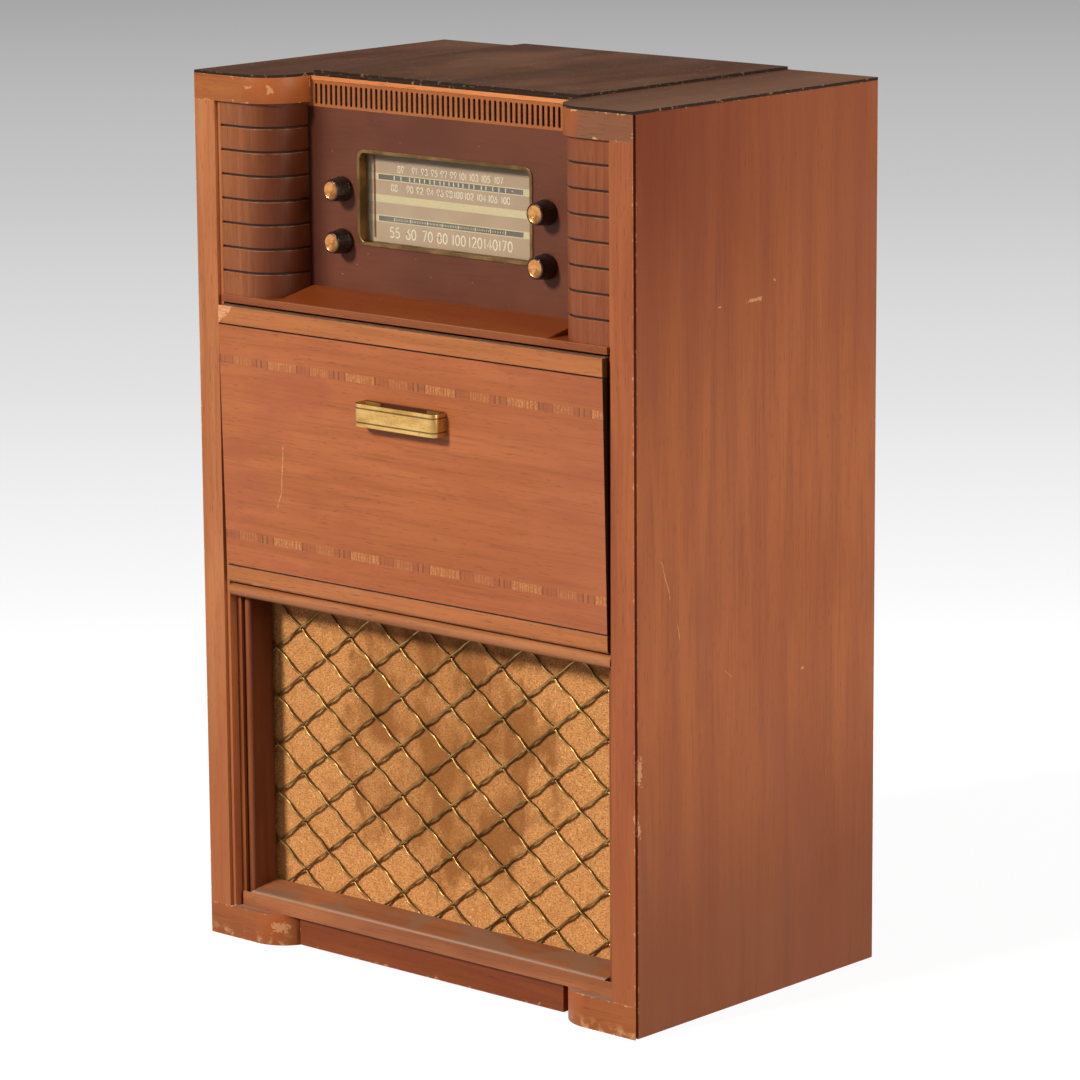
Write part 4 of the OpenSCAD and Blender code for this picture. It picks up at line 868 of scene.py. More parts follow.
stripes, scales = Shape(), Shape()
print_bar(stripes, -CARD_EDGE, CARD_EDGE, 796.6, 804.4)
for z in (UPPER_SCALE, LOWER_SCALE):
    print_bar(stripes, -CARD_EDGE, SCALE_LEFT, z - OUTER, z + OUTER)
    print_bar(stripes, SCALE_RIGHT, CARD_EDGE, z - OUTER, z + OUTER)
    print_bar(stripes, SCALE_LEFT, SCALE_RIGHT, z + INNER, z + OUTER)
    print_bar(stripes, SCALE_LEFT, SCALE_RIGHT, z - OUTER, z - INNER)
    print_bar(scales, SCALE_LEFT, SCALE_RIGHT, z - INNER, z + INNER)
stripes.make("dial_stripes", cream_ink, "cabinet", slot="dial_print", smooth=0)
scales.make("dial_scales", dark_ink, "cabinet", slot="dial_print", smooth=0)

# %% [markdown]
# A tuning scale isn't even, because the capacitor's plates are cut to a curve, so every figure
# has its own place along the card. The figures are printed paler than the stripes, and small
# ticks on the scales show where each one belongs.

# %% Paint the figures and the ticks
figures = Shape()
upper = {89: -72.5, 91: -53.6, 93: -39.6, 95: -26.0, 97: -12.7, 99: 0.5, 101: 13.4, 103: 28.4,
         105: 44.7, 107: 62.3}
lower = {88: -81.8, 90: -60.2, 92: -46.3, 94: -32.0, 96: -18.1, 98: -5.6, 100: 7.0, 102: 21.7,
         104: 38.5, 106: 54.0, 108: 71.3}
large = {55: -82.0, 60: -59.3, 70: -36.3, 80: -15.8, 100: 6.9, 120: 29.6, 140: 50.4, 170: 70.7}
SMALL, LARGE = (6.6, 0.9), (10.2, 1.3)
for row, z, (tall, thick) in ((upper, 832.1, SMALL), (lower, 812.6, SMALL), (large, 766.5, LARGE)):
    for number, x in row.items():
        write_number(figures, str(number), x, z, tall, thick)
figures.make("dial_figures", pale_ink, "cabinet", slot="dial_print", smooth=0)

ticks = Shape()


def tick(x, half, low, high):
    """One upright stroke, painted over a scale."""
    ticks.box((x - half, INK_Y - PAINT, low), (x + half, INK_Y, high))


for x in sorted([*upper.values(), *lower.values()]):
    tick(x, 0.6, 820.8, 824.8)
tick(80.2, 0.6, 822.3, 823.3)
places = list(large.values())
for left, stop, count in zip(places, places[1:], (10, 10, 10, 10, 8, 8, 6)):
    tick(left, 0.5, 778.2, 781.8)
    for i in range(1, count):
        tick(left + (stop - left) * i / count, 0.25, 778.9, 781.0)
tick(places[-1], 0.5, 778.2, 781.8)
ticks.make("dial_ticks", pale_ink, "cabinet", slot="dial_print", smooth=0)

# %% [markdown]
# The bezel is thin brass, gone dull and brown except where fingers polish it. The glass is clear
# and slightly dusty: it is mixed as a nearly invisible, shiny film, so the light still reaches
# the card behind it without any trick. The pointer is a red needle behind the glass.

# %% Finish bezel, glass and pointer
def brass(name, bright, dull, grime=0.5, rough=0.34, shift=0.0, size=0.012):
    """Old brass: bright metal, dull patches and brown grime in between."""
    finish = Finish(name)
    tarnish = finish.cloud(size, detail=4, shift=shift, rough=0.6)
    specks = finish.cloud(0.0016, detail=2, shift=shift + 1)
    colour = finish.blend(tarnish, 0.38, 0.64, bright, dull)
    colour = finish.lay(colour, "#4A3018", specks, 0.62, 0.74, 0, grime)
    finish.put(Base_Color=colour, Metallic=1.0,
               Roughness=finish.between(tarnish, 0.3, 0.7, rough, rough + 0.2))
    return finish.relief(specks, 0.00004).material


dress(brass("bezel_brass", "#8E7048", "#6A5032", shift=3, grime=0.35, size=0.03), "dial_bezel")
ease(0.35, "dial_bezel")

glass = Finish("window_glass")
smear = glass.cloud(0.05, detail=4, shift=6)
glass.put(Base_Color=tint("#DCD9CC"), Roughness=glass.between(smear, 0.3, 0.7, 0.05, 0.16),
          Alpha=glass.between(smear, 0.35, 0.75, 0.04, 0.09))
dress(glass.material, "dial_glass")

needle = Finish("needle_red")
scuff = needle.cloud(0.004, detail=3)
needle.put(Base_Color=needle.blend(scuff, 0.4, 0.7, "#8A3324", "#6A2A1E"), Roughness=0.4)
dress(needle.material, "dial_pointer")
print("Dial printed:", len(upper) + len(lower) + len(large), "numbers")

# %% [markdown]
# ## The knobs
# Four moulded knobs, nearly black, taper a little to the front. Shallow flutes run round the
# skirt for the fingers. Each face holds a spun brass disc, dished like a shallow cone, whose
# turning marks draw the light into a bright wedge. The flutes and the dish are turned in rings;
# the turning marks are too fine for that and are left to a shallow relief.

# %% Turn the knobs and their discs
plastic = Finish("knob_plastic")
cast = plastic.cloud(0.012, detail=3, shift=8)
hairlines = plastic.cloud(0.0009, "y", 12, detail=2, shift=9)
black = plastic.blend(cast, 0.35, 0.65, "#1C0F0B", "#2B1812")
plastic.put(Base_Color=plastic.lay(black, "#5A463C", hairlines, 0.62, 0.74, 0, 0.3),
            Roughness=plastic.between(cast, 0.3, 0.7, 0.2, 0.34)).relief(hairlines, 0.00003)
KNOBS = {"volume": (-140.0, 808.6), "tone": (-140.0, 754.6),
         "band": (140.0, 808.6), "tuning": (140.0, 754.6)}
KNOB_BACK, FLUTES, FLUTE_DEPTH, RING_PITCH = 54.5, 24, 0.28, 0.00045
SKIRT = [(0, 0.05), (0, 12.4), (0.5, 13.1), (1.2, 13.2), (3.0, 13.15), (3.6, 12.9), (8, 12.3),
         (12, 11.75), (16.3, 11.25), (17.2, 11.0), (17.9, 10.75), (18.35, 10.4), (18.5, 10.0),
         (18.4, 9.55), (16.6, 9.5), (16.55, 0.05)]
SHAFT = [(-26.5, 3.0), (-0.2, 3.0)]
DISH = [(16.4, 9.3), (18.2, 9.3), (18.42, 9.15), (18.5, 8.9), (18.42, 8.6)]
DISH += [(18.3 - 1.55 * (1 - r / 8.4), r) for r in (8.4, 7.2, 6.0, 4.8, 3.6, 2.4, 1.2, 0.4)]


def flutes(out, angle):
    """Shallow hollows round the skirt, fading out at both ends."""
    if not 3.5 < out < 16.5:
        return 0.0
    return -FLUTE_DEPTH * (0.5 + 0.5 * math.cos(FLUTES * angle)) ** 2


def spun_brass(name, x, z):
    """Bright copper-gold with fine rings about the disc's middle."""
    finish = Finish(name)
    across = finish.minus(finish.axis("x"), x / 1000)
    along = finish.minus(finish.axis("z"), z / 1000)
    radius = finish.length(across, along)
    rings = finish.sum("SINE", finish.times(radius, 2 * math.pi / RING_PITCH))
    stain = finish.cloud(0.005, detail=3, shift=x)
    colour = finish.mix(finish.between(stain, 0.4, 0.66, 0, 0.5), tint("#DB9A5C"), tint("#A8653A"))
    colour = finish.lay(colour, "#6E3A20", radius, 0.0080, 0.0091, 0, 0.5)
    finish.put(Base_Color=colour, Roughness=0.24, Metallic=1.0)
    return finish.relief(rings, 0.000012).material


for use, (x, z) in KNOBS.items():
    seat = (x, KNOB_BACK, z)
    knob = Shape().turned(seat, SKIRT, 144, flutes).turned(seat, SHAFT, 24)
    knob.make(use + "_knob_body", plastic.material, use + "_control", [use + "_knob"],
              "knob_plastic")
    disc, gold = Shape().turned(seat, DISH, 96), spun_brass(use + "_disc_brass", x, z)
    disc.make(use + "_knob_disc", gold, use + "_control", slot="pull_brass")

# %% [markdown]
# ## The tilting door
# The door is one broad veneered board with sideways grain between two plain rails. Two bands of
# inlay run across it. Inlay is thin wood let in flush, so it has no thickness to model: the
# finish counts along the board and lays a pale or a dark strip wherever one starts. The strips
# repeat every 111 mm, because the inlay was bought by the length.

# %% Lay out the inlay
REPEAT, INLAY_START = 111.0, -250.0
PALE_STRIPS = [(6, 2.4, 0.6), (9.6, 4.6, 0.6), (15.6, 3.0, 0.55), (19.8, 2.4, 0.6),
               (23.4, 3.8, 0.6), (28.6, 3.0, 0.5), (41, 3.4, 0.3), (56, 5.4, 1.0),
               (62.4, 2.6, 1.0), (66, 2.6, 1.0), (69.6, 7.2, 1.0), (77.8, 2.4, 0.9),
               (81.4, 3.4, 1.0), (86, 4.2, 1.0), (91.6, 4.6, 0.9)]
DARK_STRIPS = [(4.6, 1.2, 0.6), (33, 1.2, 0.5), (38.6, 1.9, 1.0), (45.2, 1.9, 1.0),
               (54.4, 1.4, 0.9), (97, 1.6, 0.9), (103, 2.2, 0.35), (108, 1.6, 0.35)]
BANDS = ((436.5, 445.5), (623.0, 631.5))
VENEER_SCRATCH = ((-0.176, 0.5446), (-0.1796, 0.4976), (-0.1863, 0.4777))


def strips(finish, laid):
    """How much of a strip lies at each place along the board, from 0 to 1."""
    along = finish.minus(finish.axis("x"), INLAY_START / 1000)
    along = finish.sum("WRAP", along, REPEAT / 1000, 0.0)
    ramp = finish.add("ShaderNodeValToRGB")
    ramp.color_ramp.interpolation = "CONSTANT"
    finish.feed(ramp.inputs[0], finish.sum("DIVIDE", along, REPEAT / 1000))
    marks = ramp.color_ramp.elements
    marks.remove(marks[1])
    marks[0].position, marks[0].color = 0.0, (0, 0, 0, 1)
    for start, width, amount in laid:
        for place, level in ((start, amount), (start + width, 0.0)):
            mark = marks.new(place / REPEAT)
            mark.color = (level, level, level, 1)
    return ramp.outputs[0]


def door_face(finish, colour):
    """Two inlaid bands, rosy stains, a fine scratch, painted shade behind the pull, and dark ends.
    """
    rosy = finish.cloud(0.05, "x", 2.5, detail=3, shift=71)
    colour = finish.lay(colour, "#A3563B", rosy, 0.52, 0.68, 0, 0.5)
    colour = finish.lay(colour, "#9F5A40", finish.axis("x"), 0.05, 0.26, 0, 0.35)
    inlaid = finish.plus(*[lie_between(finish, "z", low / 1000, high / 1000)
                           for low, high in BANDS])
    ground = finish.cover(colour, "#935638", 0.25)
    fibre = finish.cloud(0.0012, "z", 8, detail=2, shift=73)
    pale = finish.blend(fibre, 0.35, 0.7, "#D6945E", "#AC683C")
    dark = finish.blend(fibre, 0.35, 0.7, "#74462F", "#875438")
    broken = finish.between(finish.cloud(0.0026, detail=2, shift=74), 0.38, 0.58, 0.3, 0.8)
    ground = finish.mix(finish.times(strips(finish, PALE_STRIPS), broken), ground, pale)
    ground = finish.mix(strips(finish, DARK_STRIPS), ground, dark)
    colour = finish.mix(inlaid, colour, ground)
    # Painted shade on the door's face in the gap behind the pull.
    behind_pull = finish.times(lie_between(finish, "x", -0.0545, 0.0535, 0.002),
                               lie_between(finish, "z", 0.586, 0.6068, 0.001))
    front = finish.between(finish.axis("y"), FRONT + 0.001, FRONT + 0.0005, 0, 0.85)
    colour = finish.cover(colour, "#2C190F", finish.times(behind_pull, front))
    recess = lie_between(finish, "y", FRONT + 0.0013, FRONT + 0.0030)
    colour = finish.lay(colour, "#8E5C3A", finish.axis("y"), FRONT + 0.0182, FRONT + 0.0186)
    end = finish.between(finish.size(finish.face("x")), 0.6, 0.85)
    colour = finish.cover(colour, "#1E0E08", finish.sum("MAXIMUM", recess, end))
    for start, stop in zip(VENEER_SCRATCH, VENEER_SCRATCH[1:]):
        colour = scratch(finish, colour, "x", start, stop, 0.0005)
    return colour


def rail_wear(finish, colour):
    """A bare chipped corner, a dull top edge, and nicks along the bottom."""
    across = finish.sum("DIVIDE", finish.minus(finish.axis("x"), -0.2645), 0.0215)
    down = finish.sum("DIVIDE", finish.minus(0.6835, finish.axis("z")), 0.0200)
    ragged = finish.between(finish.cloud(0.006, detail=4, shift=75), 0.3, 0.7, -0.14, 0.14)
    torn = finish.between(finish.plus(across, down, ragged), 1.02, 0.96)
    splinter = finish.cloud(0.0016, "x", 6, detail=3, shift=76)
    colour = finish.mix(torn, colour, finish.blend(splinter, 0.4, 0.62, "#E2A67E", "#CB8A5F"))
    up = finish.between(finish.face("z"), 0.55, 0.85, 0, 0.85)
    colour = finish.mix(up, colour, finish.blend(ragged, -0.05, 0.08, "#755B4A", "#8F6E58"))
    colour = finish.lay(colour, "#241109", finish.size(finish.face("x")), 0.6, 0.85, 0, 0.9)
    low = finish.between(finish.axis("z"), 0.3925, 0.3905)
    nicks = finish.between(finish.cloud(0.006, "x", 2, detail=3, shift=77), 0.58, 0.64, 0, 0.8)
    left = finish.between(finish.axis("x"), -0.12, -0.19, 0.35, 1)
    return finish.cover(colour, "#CE9A77", finish.times(low, nicks, left))


# %% [markdown]
# The rails above and below the board are solid wood of the same stain. They take the knocks, so
# one corner is torn and the lower edge is nicked. Both finishes lean with the door.

# %% Finish the door
dress(wood("door_veneer", "#B96C42", "#AA6038", "x", "#A65E38", band=0.014, shift=33, gloss=0.38,
           leaning=True, extra=door_face), "door_panel")
dress(wood("door_rail_wood", "#BC7446", "#AC683C", "x", "#AE6840", band=0.010, shift=37,
           leaning=True, extra=rail_wear), "door_rails")
ease(0.5, "door_rails")
ease(0.25, "door_panel")

# %% [markdown]
# The pull is a bent and pressed strap of brass with two groups of flutes. Fingers keep its front
# bright. Its top ledge carries painted shade, nearly black, and so does the door behind it, and its
# right end carries a lighter painted shade. Its flutes are part of the imported shape already, so
# it keeps that shape and gets its metal.

# %% Finish the pull
PULL_Z, LINE_OFF, LINE_HALF = 594.5, 7.35, 0.8
pull = Finish("pull_brass", leaning=True)
rubbed = pull.cloud(0.016, "x", 2.2, detail=4, shift=43, rough=0.6)
brushed = pull.cloud(0.0007, "x", 30, detail=2, shift=44)
dots = pull.cloud(0.002, detail=2, shift=45)
shade = pull.blend(rubbed, 0.36, 0.66, "#E8BC72", "#C89A55")
shade = pull.lay(shade, "#7A5730", brushed, 0.5, 0.7, 0, 0.25)
shade = pull.lay(shade, "#5B3D1E", dots, 0.62, 0.74, 0, 0.5)
# Painted shade on the pull's right end.
shade = pull.lay(shade, "#6B4D2B", pull.axis("x"), 0.046, 0.057, 0, 0.4)
for middle in (PULL_Z - LINE_OFF, PULL_Z + LINE_OFF):
    low, high = (middle - LINE_HALF) / 1000, (middle + LINE_HALF) / 1000
    line = lie_between(pull, "z", low, high, 0.0003)
    shade = pull.cover(shade, "#4E371C", pull.times(line, 0.75))
# Painted shade, nearly black, on the faces of the pull that look up.
ledge = pull.between(pull.face("z"), 0.6, 0.9)
shade = pull.cover(shade, "#3A2C1C", pull.times(ledge, 0.88))
pull.put(Base_Color=shade, Roughness=pull.between(rubbed, 0.3, 0.7, 0.30, 0.46), Metallic=0.9)
pull.relief(brushed, 0.00003)
dress(pull.material, "door_pull")
ease(0.6, "door_pull")
print("Door dressed: board, rails, inlay, pull")

# %% [markdown]
# ## The speaker front
# The lattice is woven from crimped brass wire: each wire dips under one neighbour and over the
# next, so it is never straight. Straight facets would catch the lamp wrongly, so every wire is a
# round tube run along a smooth wave. The crimps keep the crossings from sliding.

# %% Weave the lattice
HALF_X, HALF_Z, FIRST_X, FIRST_Z = 35.6, 26.35, 3.4, 337.4
WIRE_Y, WIRE_R, CRIMP = 52.75, 1.3, 1.3
LATTICE_X, LATTICE_LOW, LATTICE_HIGH = 254.7, 52.3, 377.5
OUTERMOST, STEPS, SIDES = 26, 14, 8


def wire_point(k, way, t):
    """The wire's middle at t half cells from the row where it was counted from."""
    return Vector((FIRST_X + (k + t) * HALF_X, WIRE_Y - way * CRIMP * math.cos(3 * math.pi * t),
                   FIRST_Z + way * t * HALF_Z))


def wire_ends(k, way):
    """The first and last t inside the lattice's frame, or None when the wire misses it."""
    low_t, high_t = (-LATTICE_X - FIRST_X) / HALF_X - k, (LATTICE_X - FIRST_X) / HALF_X - k
    rows = sorted(way * (z - FIRST_Z) / HALF_Z for z in (LATTICE_LOW, LATTICE_HIGH))
    low_t, high_t = max(low_t, rows[0]), min(high_t, rows[1])
    return (low_t, high_t) if high_t - low_t > 0.05 else None


lattice, wires = Shape(), 0
for k in range(-OUTERMOST, OUTERMOST + 1, 2):
    for way in (-1, 1):
        ends = wire_ends(k, way)
        if not ends:
            continue
        wires += 1
        count = max(2, round((ends[1] - ends[0]) * STEPS))
        rings = []
        for i in range(count + 1):
            t = ends[0] + (ends[1] - ends[0]) * i / count
            here = wire_point(k, way, t)
            run = (wire_point(k, way, t + 0.01) - wire_point(k, way, t - 0.01)).normalized()
            side = run.cross(Vector((0, 1, 0))).normalized()
            over = side.cross(run)
            rings.append([at(*(here + WIRE_R * (side * math.cos(a) + over * math.sin(a))))
                          for a in (2 * math.pi * j / SIDES for j in range(SIDES))])
        lattice.loft(rings)
gilt = brass("lattice_brass", "#A88A56", "#6C5632", grime=0.7, rough=0.36, shift=81, size=0.02)
lattice.make("woven_lattice", gilt, "cabinet", ["wire_lattice"], "lattice_brass")
print("Wires in the lattice:", wires)

# %% [markdown]
# Behind the wire a stiff cloth is stretched over the speaker board. It is a plain weave of
# brown yarn with gold flecks, cut 523 mm wide and 327 mm high and pulled flat when it was glued.
# Years have let it sag a few tenths of a millimetre between its edges. A round dark stain has
# grown in its middle, where the cone's moving air draws dust through it. The yarns are too fine
# to model one by one, so the finish weaves them.

# %% Stretch the speaker cloth
cloth_low, cloth_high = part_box("grille_cloth")
ACROSS, UP, SAG = 130, 82, 0.0003
ROW, LAYER = ACROSS + 1, (ACROSS + 1) * (UP + 1)


def slack(x, z, u, v):
    """How far the cloth gives at a place, which is nothing at its edges."""
    if u in (0, 1) or v in (0, 1):
        return 0.0
    pillow = math.sin(math.pi * u) ** 0.6 * math.sin(math.pi * v) ** 0.6
    return SAG * pillow * (0.5 + 0.5 * ripple.noise(Vector((x * 14, 0.0, z * 14))))


cloth_shape = Shape()
for depth, gives in ((cloth_low.y + 0.0001, True), (cloth_high.y, False)):
    for row in range(UP + 1):
        for step in range(ROW):
            u, v = step / ACROSS, row / UP
            x = cloth_low.x + (cloth_high.x - cloth_low.x) * u
            z = cloth_low.z + (cloth_high.z - cloth_low.z) * v
            cloth_shape.points.append(Vector((x, depth + (slack(x, z, u, v) if gives else 0.0), z)))
for row in range(UP):
    for step in range(ACROSS):
        a = row * ROW + step
        b, c, d = a + 1, a + ROW + 1, a + ROW
        cloth_shape.faces.append((a, b, c, d))
        cloth_shape.faces.append((LAYER + d, LAYER + c, LAYER + b, LAYER + a))
rim = [*range(ROW), *range(ROW + ACROSS, LAYER, ROW),
       *range(UP * ROW + ACROSS - 1, UP * ROW - 1, -1), *range((UP - 1) * ROW, 0, -ROW)]
for a, b in zip(rim, rim[1:] + rim[:1]):
    cloth_shape.faces.append((b, a, LAYER + a, LAYER + b))

weave = Finish("speaker_weave")
YARN = 0.0011


def threads(letter, shift):
    """Rows of yarn along one direction, each a little thicker or thinner than the last."""
    wander = weave.between(weave.cloud(0.02, detail=2, shift=shift), 0.3, 0.7, -0.0006, 0.0006)
    place = weave.plus(weave.axis(letter), wander)
    return weave.sum("SINE", weave.times(place, 2 * math.pi / YARN))


warp, weft = threads("x", 91), threads("z", 92)
crossing = weave.times(warp, weft)
colour = weave.blend(crossing, -1, 1, "#CC8850", "#F2B070")
brown_yarn = weave.between(weave.cloud(0.0014, "x", 2.4, detail=2, shift=93), 0.50, 0.60)
colour = weave.cover(colour, "#A86C38", weave.times(brown_yarn, 0.7))
gold_yarn = weave.between(weave.cloud(0.0016, "z", 2.6, detail=2, shift=94), 0.58, 0.68)
colour = weave.cover(colour, "#FFCC8C", weave.times(gold_yarn, 0.8))


def squared(letter, middle, reach):
    """The square of how far a place is from the stain's middle, as a share of its reach."""
    off = weave.sum("DIVIDE", weave.minus(weave.axis(letter), middle), reach)
    return weave.times(off, off)


ragged = weave.cloud(0.045, "z", 1.2, detail=5, shift=95, rough=0.6)
ragged = weave.between(ragged, 0.35, 0.65, -0.4, 0.4)
spread = weave.plus(squared("x", -0.012, 0.148), squared("z", 0.235, 0.15))
patches = weave.between(weave.cloud(0.035, "z", 1.5, detail=3, shift=99), 0.36, 0.62, 0.35, 1)
stain = weave.between(weave.plus(spread, ragged), 1.25, 0.65, 0.03, 0.8)
colour = weave.cover(colour, "#8E5629", weave.times(stain, patches))
mottle = weave.cloud(0.011, detail=4, shift=98, rough=0.6)
colour = weave.lay(colour, "#A9662F", mottle, 0.48, 0.62, 0, 0.25)
colour = weave.lay(colour, "#5E3A22", weave.cloud(0.0025, detail=2, shift=96), 0.67, 0.74, 0, 0.55)
ripples = weave.times(weave.cloud(0.03, "z", 4, detail=2, shift=97), 7.0)
heights = weave.plus(crossing, weave.times(brown_yarn, 1.5), ripples)
weave.put(Base_Color=colour, Roughness=0.85, Specular_IOR_Level=0.15).relief(heights, 0.00012)
cloth = cloth_shape.make("stretched_cloth", weave.material, "cabinet", ["grille_cloth"],
                         "speaker_cloth", smooth=60)

# %% [markdown]
# ## Behind the cloth and the panel
# What the door and boards hide is finished too, because the cabinet is opened, turned and
# taken apart in use. Steel is cadmium-plated and dull, the chassis has a yellowish tinge, the
# transformers and the loudspeaker's frame are black enamel, and the cone is grey-brown paper.

# %% Finish metal and enamel
def steel(name, bright="#A9A59A", dull="#7F7A6C", rough=0.36, shift=0.0, rust=0.25, along=None):
    """Plated steel: cloudy, faintly brushed, with a little rust."""
    finish = Finish(name)
    bloom = finish.cloud(0.02, detail=4, shift=shift)
    brushed = finish.cloud(0.0007, along or "x", 14, detail=2, shift=shift + 1)
    spots = finish.cloud(0.006, detail=4, shift=shift + 2, rough=0.7)
    colour = finish.blend(bloom, 0.36, 0.66, bright, dull)
    colour = finish.lay(colour, "#D0CCC0", brushed, 0.5, 0.72, 0, 0.25)
    colour = finish.lay(colour, "#6B4022", spots, 0.62, 0.72, 0, rust)
    finish.put(Base_Color=colour, Metallic=0.95,
               Roughness=finish.between(bloom, 0.3, 0.7, rough, rough + 0.16))
    return finish.relief(brushed, 0.00003).material


def enamel(name, code, gloss=0.4, shift=0.0, pebble=0.0011, depth=0.00008, chips="#8A8578"):
    """Sprayed or stoved enamel: an orange-peel skin, a cloudy shine, and small chips."""
    finish = Finish(name)
    skin = finish.cloud(pebble, detail=2, shift=shift)
    bloom = finish.cloud(0.04, detail=3, shift=shift + 1)
    chipped = finish.between(finish.cloud(0.004, detail=3, shift=shift + 2), 0.74, 0.77, 0, 0.8)
    base = tint(code)
    dim, lit = tuple(c * 0.72 for c in base), tuple(min(1, c * 1.5 + 0.01) for c in base)
    colour = finish.mix(finish.between(bloom, 0.35, 0.65), base, dim)
    colour = finish.mix(finish.between(skin, 0.6, 0.75, 0, 0.2), colour, lit)
    finish.put(Base_Color=finish.cover(colour, chips, chipped),
               Roughness=finish.between(bloom, 0.3, 0.7, gloss, gloss + 0.15))
    return finish.relief(skin, depth).material


dress(steel("chassis_plate", "#B3AC93", "#8C8468", rough=0.38, shift=101), "chassis_pan")
dress(steel("bolt_steel", shift=102, rough=0.3), "chassis_bolts", "shaft_controls")
dress(steel("gang_steel", "#B8B8B2", "#8E8E88", rough=0.3, shift=103, rust=0.08),
      "tuning_stator", "tuning_rotor")
dress(steel("runner_steel", "#9D9A90", "#77736A", shift=104, along="y"), "runner_channels")
dress(steel("iron_steel", "#8F8A80", "#6B665C", shift=105, rust=0.4, along="z"),
      "door_irons", *mirrored_pair("link"))
dress(steel("spindle_steel", "#C9C8C4", "#A3A29C", rough=0.2, shift=106, rust=0.05, along="z"),
      "spindle")
dress(brass("bush_brass", "#B8925C", "#7C5C34", shift=107), "pivot_bushes")
dress(enamel("black_enamel", "#17150F", 0.35, 108), "speaker_basket", "power_transformer")
dress(enamel("core_enamel", "#221C16", 0.5, 109), "output_transformer", "changer_motor")
dress(enamel("changer_enamel", "#6E5A44", 0.32, 110, pebble=0.0016, depth=0.00015, chips="#A39A8C"),
      "changer_base", "record_support")
dress(enamel("arm_enamel", "#4A3626", 0.24, 111, chips="#A39A8C"), "arm_swivel", "tone_arm")
ease(0.4, "chassis_pan", "power_transformer", "output_transformer", "runner_channels",
     "record_support")
ease(0.5, "changer_base", "tone_arm")

dress(wood("tray_board", "#BF9468", "#A5784C", "y", "#AF8458", band=0.02, gloss=0.6, pores=0.3,
           shift=19), "changer_tray")
ease(0.5, "changer_tray")

# %% [markdown]
# The cone is moulded paper pulp. Its fibres lie every way, and rings pressed into its edge let
# it move. The rings are in the relief, because on the real cone they are under a millimetre.

# %% Finish the cone
pulp = Finish("cone_paper")
fibres = pulp.cloud(0.0009, detail=4, shift=121, rough=0.7)
mottle = pulp.cloud(0.02, detail=3, shift=122)
SPEAKER_Z = sum(corner.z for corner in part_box("speaker_cone")) / 2
RING_START, CONE_RINGS = 0.100, 0.004
radius = pulp.length(pulp.axis("x"), pulp.minus(pulp.axis("z"), SPEAKER_Z))
rings = pulp.times(pulp.sum("SINE", pulp.times(radius, 2 * math.pi / CONE_RINGS)),
                   pulp.between(radius, RING_START, RING_START + 0.006))
grey = pulp.blend(mottle, 0.35, 0.65, "#4A4038", "#5A4E42")
pulp.put(Base_Color=pulp.lay(grey, "#85766A", fibres, 0.55, 0.72, 0, 0.5), Roughness=0.9)
pulp.relief(pulp.plus(rings, pulp.times(fibres, 0.6)), 0.0003)
dress(pulp.material, "speaker_cone")

# %% [markdown]
# ## The valves
# Each valve is a glass bulb on a dark base, with grey metal inside and a silvery flash at its
# crown, where the last gas was burnt away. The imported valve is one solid; here each bulb, base
# and inner plate is made apart, because glass only reads as glass with something behind it.

# %% Blow the valves
valve_glass = Finish("valve_glass")
swirl = valve_glass.cloud(0.02, detail=3, shift=131)
crown = valve_glass.between(valve_glass.face("z"), 0.72, 0.95)
valve_glass.put(Base_Color=valve_glass.mix(crown, tint("#C9CFCB"), tint("#6F6C66")),
                Roughness=valve_glass.between(swirl, 0.3, 0.7, 0.04, 0.12),
                Metallic=valve_glass.between(crown, 0, 1, 0, 0.7),
                Alpha=valve_glass.between(crown, 0, 1, 0.22, 0.92))
valve_base = enamel("valve_base", "#1B130F", 0.3, 132)
valve_plate = steel("valve_plate", "#8A8A88", "#5C5C5A", rough=0.45, shift=133, rust=0.0, along="z")
VALVE_PLACES = [(-160, 40, 1.0), (-115, 40, 1.0), (-70, 40, 0.9), (-160, 100, 1.0),
                (-115, 120, 1.1), (-60, 110, 0.9), (60, 130, 1.0)]
CHASSIS_BACK, CHASSIS_TOP, VALVE_H, GLASS_LOW, BULB_R, DOME = 94.0, 749.6, 92.0, 23.0, 16.95, 0.46
BASE = [(0, 0), (0, 13.5), (0.6, 14.2), (2.4, 14.2), (3.2, 13.6), (22, 13.2), (23.5, 12.4),
        (23.5, 0)]


def upright(shape, x, y, profile, sides=40):
    """A turned piece that stands on the chassis: profile is (height, radius) in millimetres."""
    shape.loft([[at(x + max(r, 0.05) * math.cos(a), y + max(r, 0.05) * math.sin(a), CHASSIS_TOP + h)
                 for a in (2 * math.pi * i / sides for i in range(sides))] for h, r in profile])


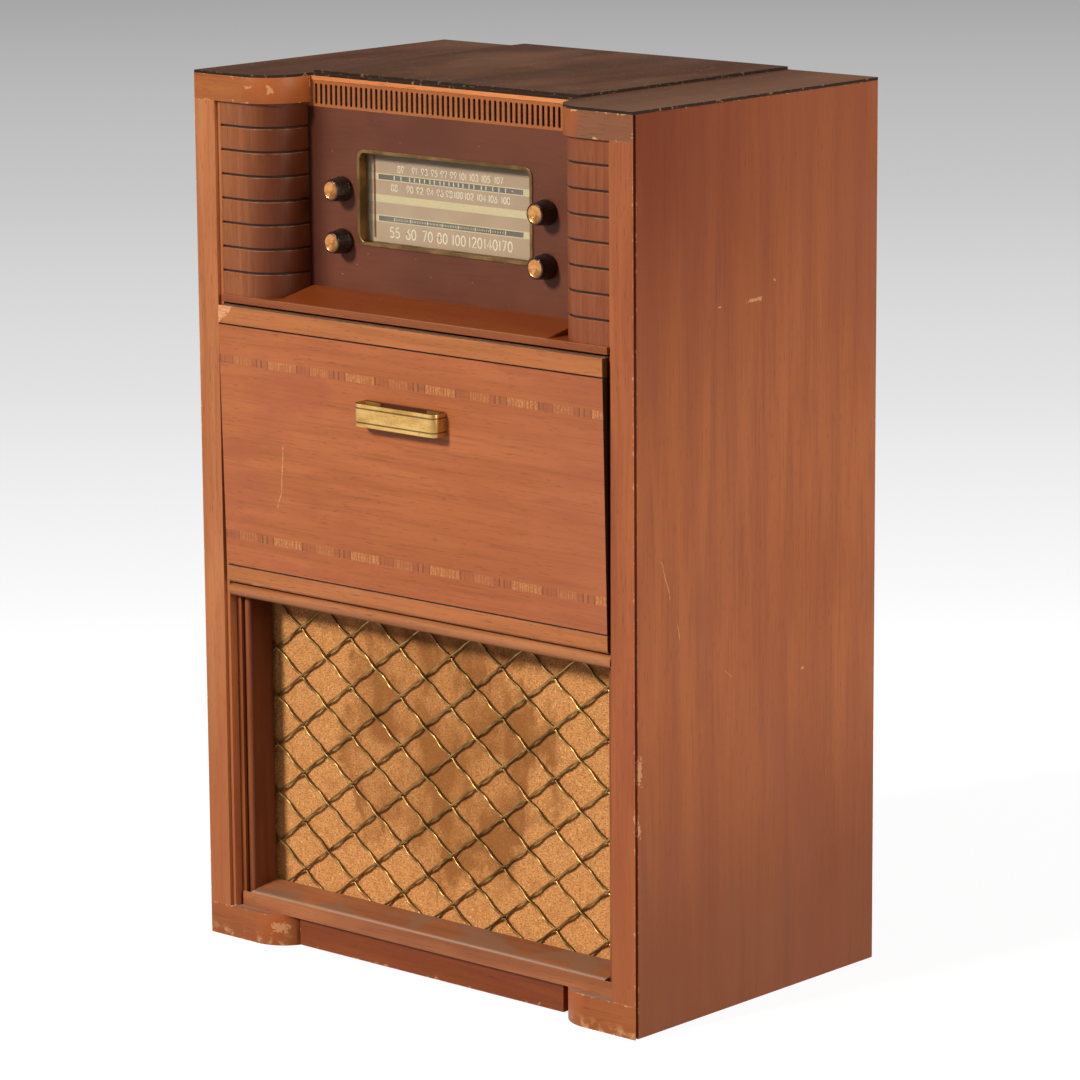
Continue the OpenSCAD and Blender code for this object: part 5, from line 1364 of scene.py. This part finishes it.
bulbs, bases, plates = Shape(), Shape(), Shape()
for x, back, factor in VALVE_PLACES:
    y, tall = CHASSIS_BACK + back, VALVE_H * factor
    rise = tall - GLASS_LOW
    bulb = [(GLASS_LOW, 12.0), (GLASS_LOW + 1.5, 12.8)]
    bulb += [(GLASS_LOW + rise * up, r) for up, r in ((0.16, 14.2), (0.32, 16.4), (DOME, BULB_R))]
    for a in (math.radians(degrees) for degrees in (12, 26, 40, 52, 63, 73, 81, 87)):
        up, out = GLASS_LOW + rise * DOME + rise * 0.54 * math.sin(a), math.cos(a) ** 0.8
        bulb.append((up, BULB_R * out))
    upright(bases, x, y, BASE)
    upright(bulbs, x, y, bulb + [(tall - 0.1, 0)])
    head = GLASS_LOW + rise * 0.66
    upright(plates, x, y, [(27, 0), (27, 7.5), (29, 8.2), (GLASS_LOW + rise * 0.62, 8.2),
                           (head, 6.5), (head, 0)], 24)
    for h in (26, GLASS_LOW + rise * 0.68):
        upright(plates, x, y, [(h, 0), (h, 11.0), (h + 0.5, 11.0), (h + 0.5, 0)], 24)
bulbs.make("valve_bulbs", valve_glass.material, "cabinet", ["valves"], "valve_glass", smooth=60)
bases.make("valve_bases", valve_base, "cabinet", slot="knob_plastic", smooth=40)
plates.make("valve_plates", valve_plate, "cabinet", slot="steel", smooth=40)

# %% [markdown]
# ## The turntable
# The platter is a pressed steel dish, enamelled, with a rubbed rim. On it lies a flocked mat of
# brown felt, which stops a record from slipping. The felt is fibre, so it is matt, mottled and
# a little worn towards the middle, where it was lifted off to be brushed.

# %% Finish the platter
flock = Finish("platter_flock")
fuzz = flock.cloud(0.0008, detail=4, shift=141, rough=0.75)
wear = flock.cloud(0.03, detail=4, shift=142)
felt = flock.blend(wear, 0.35, 0.65, "#5B3A28", "#6E4A33")
felt = flock.lay(felt, "#8A6448", fuzz, 0.5, 0.7, 0, 0.5)
top_face = flock.between(flock.face("z"), 0.7, 0.9)
rim_metal = flock.blend(wear, 0.4, 0.6, "#8C857A", "#6A645A")
flock.put(Base_Color=flock.mix(top_face, rim_metal, felt),
          Roughness=flock.between(top_face, 0, 1, 0.35, 0.95),
          Metallic=flock.between(top_face, 0, 1, 0.9, 0.0)).relief(fuzz, 0.0003)
dress(flock.material, "platter")
print("Hidden parts dressed")
